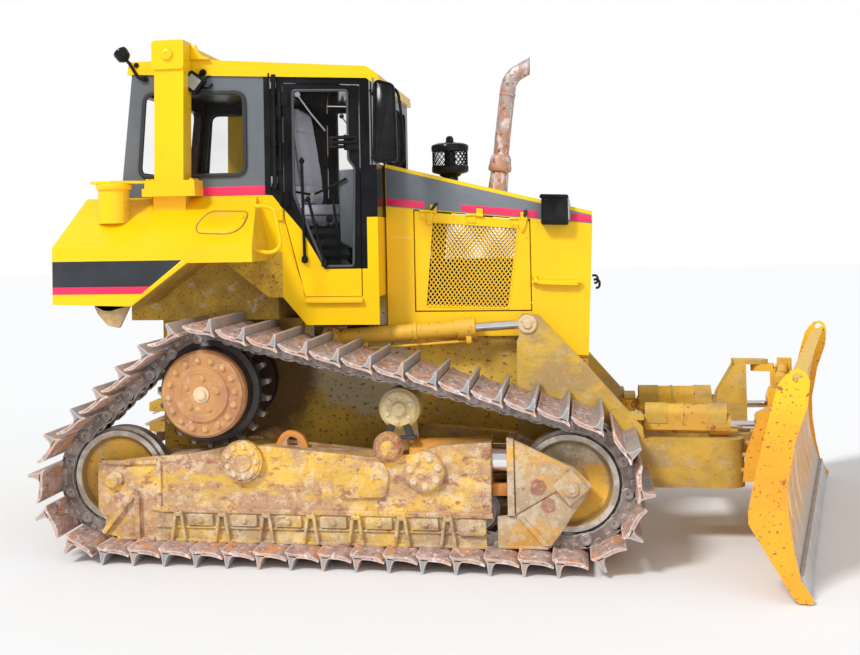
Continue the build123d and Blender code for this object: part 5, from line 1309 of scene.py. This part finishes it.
def dress_mirrors():
    """The right side's black mirror head with a rounded back and rim, held in a thin loop of rod."""
    shape = [(-448, 2130), (-434, 2118), (-332, 2122), (-320, 2138), (-328, 2530), (-344, 2548), (-418, 2570),
             (-438, 2556)]
    head = side(shape, WALL - 70, 56, 12, 18)
    rim = framed(shape, 14, 6, 6, WALL - 124)
    loop = tube([(-356, WALL - 100, 2530), (-318, WALL - 100, 2512), (-300, WALL - 100, 2440),
                 (-280, WALL - 100, 2200), (-284, WALL - 100, 2130), (-310, WALL - 100, 2104),
                 (-376, WALL - 100, 2110)], 8, 5)
    arm = tube([(-450, WALL - 90, 2500), (-466, WALL - 50, 2520), (-478, WALL + 4, 2530)], 10, 4, UP)
    low = tube([(-450, WALL - 90, 2160), (-466, WALL - 50, 2150), (-478, WALL + 4, 2150)], 8, 4, UP)
    put("mirror", join(head, rim, loop, arm, low), BLACK, replaces=("mirrors",))


def dress_rops():
    """Bosses on the post caps, curved brackets beside them, bolts of the feet and the roof's end bolt."""
    boss = lathe([(0, 34), (8, 34), (14, 31), (18, 24), (18, 12), (14, 10), (14, 1)], (-1606, -913, 2756), OUT, 24)
    put_pair("post_boss", boss, PAINT)
    bend = [(-1512, 2828), (-1480, 2828), (-1470, 2790), (-1446, 2762), (-1404, 2748), (-1404, 2738), (-1512, 2742)]
    put_pair("post_bracket", side(bend, -742, 20, 4, 6), PAINT)
    feet = bolts([(x, -852, 2046) for x in (-1748, -1720, -1492)] + [(x, -760, 2046) for x in (-1748, -1490)], 13,
                 UP, 11)
    put_pair("foot_bolts", feet, PAINT)
    put_pair("roof_bolt", lathe(button(15, 12), (-1846, -731, 2726), OUT, 18), BLACK)


SLOPE = 279.0 / 400.0          # rise of the tank's upper face over its depth
TANK_SIDE, TANK_EDGE = -1120.0, 1676        # where that face starts: y and z of its outer edge
OFF_SLOPE = (0, -SLOPE, 1.0)


def on_slope(points, lift=0.0):
    """Points (x, z) of the tank's leaning face, lifted square off it."""
    p = np.asarray(points, float)
    out = np.array(OFF_SLOPE) / (1 + SLOPE ** 2) ** 0.5
    flat = np.stack([p[:, 0], TANK_SIDE + (p[:, 1] - TANK_EDGE) / SLOPE, p[:, 1]], 1)
    return flat + lift * out


def dress_tank():
    """Films, folded flange, hatch with its latch, filler arm and the bracket under the rear of the tank."""
    face = TANK_SIDE
    band = side([(-2221, 1456), (-1650, 1456), (-1470, 1598), (-2221, 1598)], face, 1.0, 0.3)
    stripe = side([(-2221, 1416), (-1702, 1416), (-1650, 1456), (-2221, 1456)], face, 1.2, 0.3)
    put_pair("tank_film", band, DARK_FILM)
    put_pair("tank_stripe", stripe, RED)
    fold = side([(-1790, 1350), (-1762, 1348), (-1440, 1583), (-1470, 1600)], face, 10, 3)
    put_pair("tank_flange", fold, PAINT)
    ring = rounded([(-1384, 1862), (-1158, 1856), (-1168, 1770), (-1226, 1738), (-1412, 1746), (-1432, 1790)], 34, 6)
    hatch = loft(np.stack([on_slope(ring, -2), on_slope(ring, 3), on_slope(inset(ring, 2), 5)]))
    line = on_slope(inset(ring, -5), 1.5)
    groove = sweep(line, strap(2.6, 2, 1), OFF_SLOPE, True)
    put_pair("tank_hatch", hatch, PAINT)
    put_pair("hatch_seal", groove, STAIN)
    place = on_slope([(-1190, 1822)], 4)[0]
    knob = lathe(button(18, 12), place, OFF_SLOPE, 18)
    put_pair("hatch_latch", knob, PAINT)
    arm = plan([(-2030, -962), (-1930, -986), (-1760, -880), (-1700, -852), (-1700, -790), (-1900, -820),
                (-2020, -840), (-2070, -880), (-2070, -930)], 2032, 16, 5, 24)
    cap = lathe([(0, 98), (8, 102), (26, 102), (32, 96), (34, 80), (40, 76), (44, 60), (46, 0.5)],
                (-1935, -900, 1998), UP, 36)
    skirt = lathe([(0, 50), (16, 78), (40, 86), (190, 88)], (-1935, -900, 1806), UP, 36)
    put("filler_cap", join(arm, cap, skirt), PAINT)
    y = -1010.0
    bar = [(-1092, y, 1886), (-1030, y, 1884), (-986, y, 1868), (-972, y, 1834), (-960, y, 1760), (-949, y, 1692),
           (-955, y, 1658), (-982, y, 1636), (-1020, y, 1630), (-1086, y, 1640)]
    put_pair("grab_bars", tube(bar, 12, 4), PAINT, replaces=("grab_handles",))
    bracket = side([(-2016, 1352), (-1975, 1352), (-1962, 1326), (-1915, 1322), (-1890, 1352), (-1800, 1352),
                    (-1866, 1224), (-1936, 1238), (-1992, 1300)], -1010, 22, 4, 8)
    put_pair("tank_bracket", bracket, GUARD_CAKED)


def plan(outline, z, thick, bevel, radius):
    """A plate whose outline is in (x, y), rising from the height z."""
    return plate(outline, (0, 0, z), AHEAD, IN, thick, bevel, radius)


LIFT_START, LIFT_END = np.array([-749.0, -552.5, 1129.0]), np.array([362.0, -552.5, 1205.0])
LIFT_AHEAD = (LIFT_END - LIFT_START) / np.linalg.norm(LIFT_END - LIFT_START)


def on_lift(along, rise=0.0):
    """A place along the right lift cylinder's line, moved up by rise."""
    return LIFT_START + LIFT_AHEAD * along + np.array([0, 0, rise])


def dress_lift_gear():
    """Collars, clamp blocks, pin heads and the thin pipe under each lift cylinder."""
    gland, rear = on_lift(784), on_lift(180)
    rims = (([(0, 44), (0, 54), (3, 60), (16, 60), (20, 54), (20, 44)], 784),
            ([(0, 44), (0, 52), (3, 56), (20, 56), (24, 52), (24, 44)], 470))
    collars = join(*[lathe(rim, on_lift(along), LIFT_AHEAD, 24, True) for rim, along in rims],
                   lathe([(0, 30), (4, 40), (12, 42), (16, 38), (16, 0.5)], (-749, -604, 1129), OUT, 24))
    clamp = join(block(gland[0] - 14, gland[0] + 16, -592, -512, gland[2] - 84, gland[2] - 40, 5),
                 block(rear[0], rear[0] + 30, -584, -520, rear[2] - 82, rear[2] - 36, 5))
    pipe = rod(np.stack([on_lift(150, -72), on_lift(300, -74), on_lift(560, -74), on_lift(786, -72)]), 9)
    heads = bolts([on_lift(along, -84) + (0, -8, 0) for along in (784, 195)], 11, (0, 0, -1))
    put_pair("lift_fittings", join(collars, clamp, pipe, heads), GEAR_PAINT, body="lift_barrel")
    boss = lathe([(0, 52), (10, 52), (14, 47), (14, 26), (22, 24), (26, 20), (26, 0.5)], (362, -604, 1205), OUT, 28)
    ring = bolts(ring_of(3, 38, 362, -618, 1205, 0.5), 7)
    put_pair("tower_pin", join(boss, ring), BRIGHT_DUST, body="c_frame")


VOXEL, QUICK_VOXEL = 0.007, 0.012
STUFFING, STUFFING_FRAMES = 4.0, 20          # the cloth's pressure, and the frames that it acts for
CHANNEL_WIDE = 0.009


def soft_pad(name, form, cap, channels, finish):
    """A stuffed pad: its shell is remeshed, blown up as cloth by at most cap, given sewn channels and smoothed.

    A channel (axis, place, depth) presses the pad towards its middle by depth * exp(-(distance / CHANNEL_WIDE)^2).
    """
    pad = put(name, form, finish)
    cut = pad.modifiers.new("even_mesh", "REMESH")
    cut.mode, cut.voxel_size = "VOXEL", VOXEL
    keep_shape(pad)
    before = vertex_places(pad.data)
    blow = pad.modifiers.new("stuffing", "CLOTH")
    blow.settings.use_pressure = True
    blow.settings.uniform_pressure_force = STUFFING
    blow.settings.effector_weights.gravity = 0.0
    for step in range(1, STUFFING_FRAMES + 1):
        bpy.context.scene.frame_set(step)
    keep_shape(pad)
    bpy.context.scene.frame_set(1)
    moved = vertex_places(pad.data) - before
    long = np.linalg.norm(moved, axis=1, keepdims=True)
    after = before + moved * np.minimum(1.0, cap / np.maximum(long, 1e-9))
    middle = after.mean(0)
    for axis, place, depth in channels:
        press = depth * np.exp(-((after[:, axis] - place) / CHANNEL_WIDE) ** 2)[:, None]
        inward = middle - after
        inward[:, axis] = 0
        after += press * inward / np.maximum(np.linalg.norm(inward, axis=1, keepdims=True), 1e-9)
    pad.data.vertices.foreach_set("co", after.astype(np.float32).ravel())
    smooth = pad.modifiers.new("smooth", "SUBSURF")
    smooth.levels = smooth.render_levels = 1
    pad.data.shade_smooth()


def keep_shape(item):
    """The item's mesh becomes the one its modifiers give, and they are removed."""
    mesh = bpy.data.meshes.new_from_object(item.evaluated_get(bpy.context.evaluated_depsgraph_get()))
    item.modifiers.clear()
    item.data = mesh


def vertex_places(mesh):
    """A mesh's points as an array."""
    places = np.empty(len(mesh.vertices) * 3, np.float32)
    mesh.vertices.foreach_get("co", places)
    return places.reshape(-1, 3).astype(float)


def leaning(form, x, z, angle):
    """A form turned about the line across the machine at x, z."""
    points, faces = form
    a = radians(angle)
    along, up = points[:, 0] - x, points[:, 2] - z
    return np.stack([x + along * cos(a) + up * sin(a), points[:, 1], z - along * sin(a) + up * cos(a)], 1), faces


def crowned_block(x0, x1, y0, y1, z0, z1, waist):
    """A pad's shell: rounded plan rings whose size follows 1 - waist * (2t - 1)^4 from bottom to top."""
    plan_ring = rounded(rect(x0, x1, y0, y1), 0.3 * min(x1 - x0, y1 - y0), 8)
    centre = plan_ring.mean(0)
    t = np.linspace(0, 1, 9)
    share = (1 - waist * (2 * t - 1) ** 4)[:, None, None]
    rings = centre + (plan_ring - centre) * share
    height = np.broadcast_to((z0 + (z1 - z0) * t)[:, None, None], rings.shape[:2] + (1,))
    return loft(np.concatenate([rings, height], 2))


BACK_HINGE = (-1010, 2200, -8)               # x and z of the line that the back leans about, and degrees


def dress_seat():
    """Sprung base, stuffed cushion and leaning back with sewn channels, and the piping round both."""
    cushion = crowned_block(-1105, -712, -236, 236, 1792, 1892, 0.10)
    soft_pad("seat_cushion", cushion, 0.016, ((0, -0.83, 0.008), (0, -0.98, 0.008)), VINYL)
    upright_pad = crowned_block(-1058, -964, -214, 214, 1898, 2506, 0.16)
    back = leaning(upright_pad, *BACK_HINGE)
    soft_pad("seat_back", back, 0.016, ((2, 2.02, 0.009), (2, 2.19, 0.009), (2, 2.36, 0.009)), VINYL)
    ring = rounded(rect(-1112, -706, -243, 243), 118, 8)
    line = np.concatenate([ring, np.full((len(ring), 1), 1842.0)], 1)
    piping = sweep(line, circle(6, 8), UP, True)
    frame_side = rounded(rect(-218, 218, 1904, 2504), 90, 8)
    upright_line = np.stack([np.full(len(frame_side), -1010.0), frame_side[:, 0], frame_side[:, 1]], 1)
    cord = sweep(leaning((upright_line, []), *BACK_HINGE)[0], circle(6, 8), AHEAD, True)
    put("seat_piping", join(piping, cord), GREY_RUBBER)
    folds, depth, half, low, high = 6, 12, 170, 1404, 388
    t = np.linspace(0, 1, 2 * folds + 1)[:, None, None]
    base_ring = rounded(rect(-1050, -762, -178, 178), 40, 5)
    centre = base_ring.mean(0)
    size = 1 + depth * np.cos(folds * 2 * pi * t) / half
    height = np.broadcast_to(low + high * t, (len(t), len(base_ring), 1))
    bellows = np.concatenate([centre + (base_ring - centre) * size, height], 2)
    put("seat_base", loft(bellows), DARK_CAST, replaces=("operator_seat",))


BLADE_TURN, BLADE_X = radians(-10.84), 1665   # the parked angle, and the place of the axis it turns about


def from_blade(form):
    """A form made for a straight blade, in x from the angle axis, turned to the parked angle."""
    points, faces = form
    x, y = points[:, 0], points[:, 1]
    turned = [BLADE_X + x * cos(BLADE_TURN) - y * sin(BLADE_TURN), x * sin(BLADE_TURN) + y * cos(BLADE_TURN),
              points[:, 2]]
    return np.stack(turned, 1), faces


def arch(start, ahead, s0, s1, radius, thick):
    """A half-round sleeve with legs: an outer arch and an inner arch at two stations along a cylinder's line."""
    a = np.linspace(0, pi, 17)
    middle, foot, share = 56, 10, 1 - thick / radius
    outer = np.stack([radius * np.cos(a), middle + radius * np.sin(a)], 1)
    outer = np.concatenate([[(radius, foot)], outer, [(-radius, foot)]])
    inner = outer * (share, 1)
    inner[1:-1, 1] = middle + (inner[1:-1, 1] - middle) * share
    ring = np.concatenate([outer, inner[::-1]])
    sideways = np.array([-ahead[1], ahead[0], 0.0])
    rings = [start + ahead * s + ring[:, :1] * sideways + ring[:, 1:] * UP for s in (s0, s1)]
    return loft(np.stack(rings))


def dress_blade_gear():
    """Sleeves and gland rings of the angle cylinders, bolts along the blade's ribs and the tilt strut's pin heads."""
    height, sleeve, wall = 640.0, 60, 4
    for factor, word in ((-1, "right"), (1, "left")):
        start = np.array([938.0, factor * 436.0, height])
        pin = from_blade((np.array([[40.0, factor * 480.0, height]]), []))[0][0]
        ahead = (pin - start) / np.linalg.norm(pin - start)
        sleeves = join(*[arch(start, ahead, s0, s1, sleeve, wall) for s0, s1 in ((58, 176), (250, 262), (392, 492))])
        put("guard_sleeves_" + word, sleeves, PUSH_FRAME, body="angle_barrel_" + word)
        gland = lathe([(0, 46), (3, 52), (16, 52), (20, 46), (20, 30)], start + ahead * 480, ahead, 28)
        put("angle_gland_" + word, gland, GEAR_PAINT, body="angle_barrel_" + word)
    edge = ((-37, 440), (-27, 520), (-8, 585), (14, 645), (36, 705))
    spots = [(x, y, z) for y in (-785.0, 785.0) for x, z in edge]
    put("rib_bolts", from_blade(bolts(spots, 12, (-1, 0, 0.3), 16)), PUSH_FRAME, body="blade")
    knob = button(24, 12)
    ends = join(lathe(knob, (180, -560, 812), AHEAD, 18), lathe(knob, (82, -560, 812), (-1, 0, 0), 18))
    put("tilt_pin", from_blade(ends), BRIGHT_DUST, body="blade")


def dress_all():
    """Every dressing, the seat first."""
    for dress in (dress_seat, dress_tracks, dress_running_gear, dress_track_frame, dress_roller_guard,
                  dress_idler_yoke, dress_hood, dress_grille, dress_precleaner, dress_exhaust, dress_cab, dress_lamps,
                  dress_mirrors, dress_rops, dress_tank, dress_lift_gear, dress_blade_gear):
        dress()


place_camera()
light_scene()
lay_floor()
finish_nodes()
dress_all()
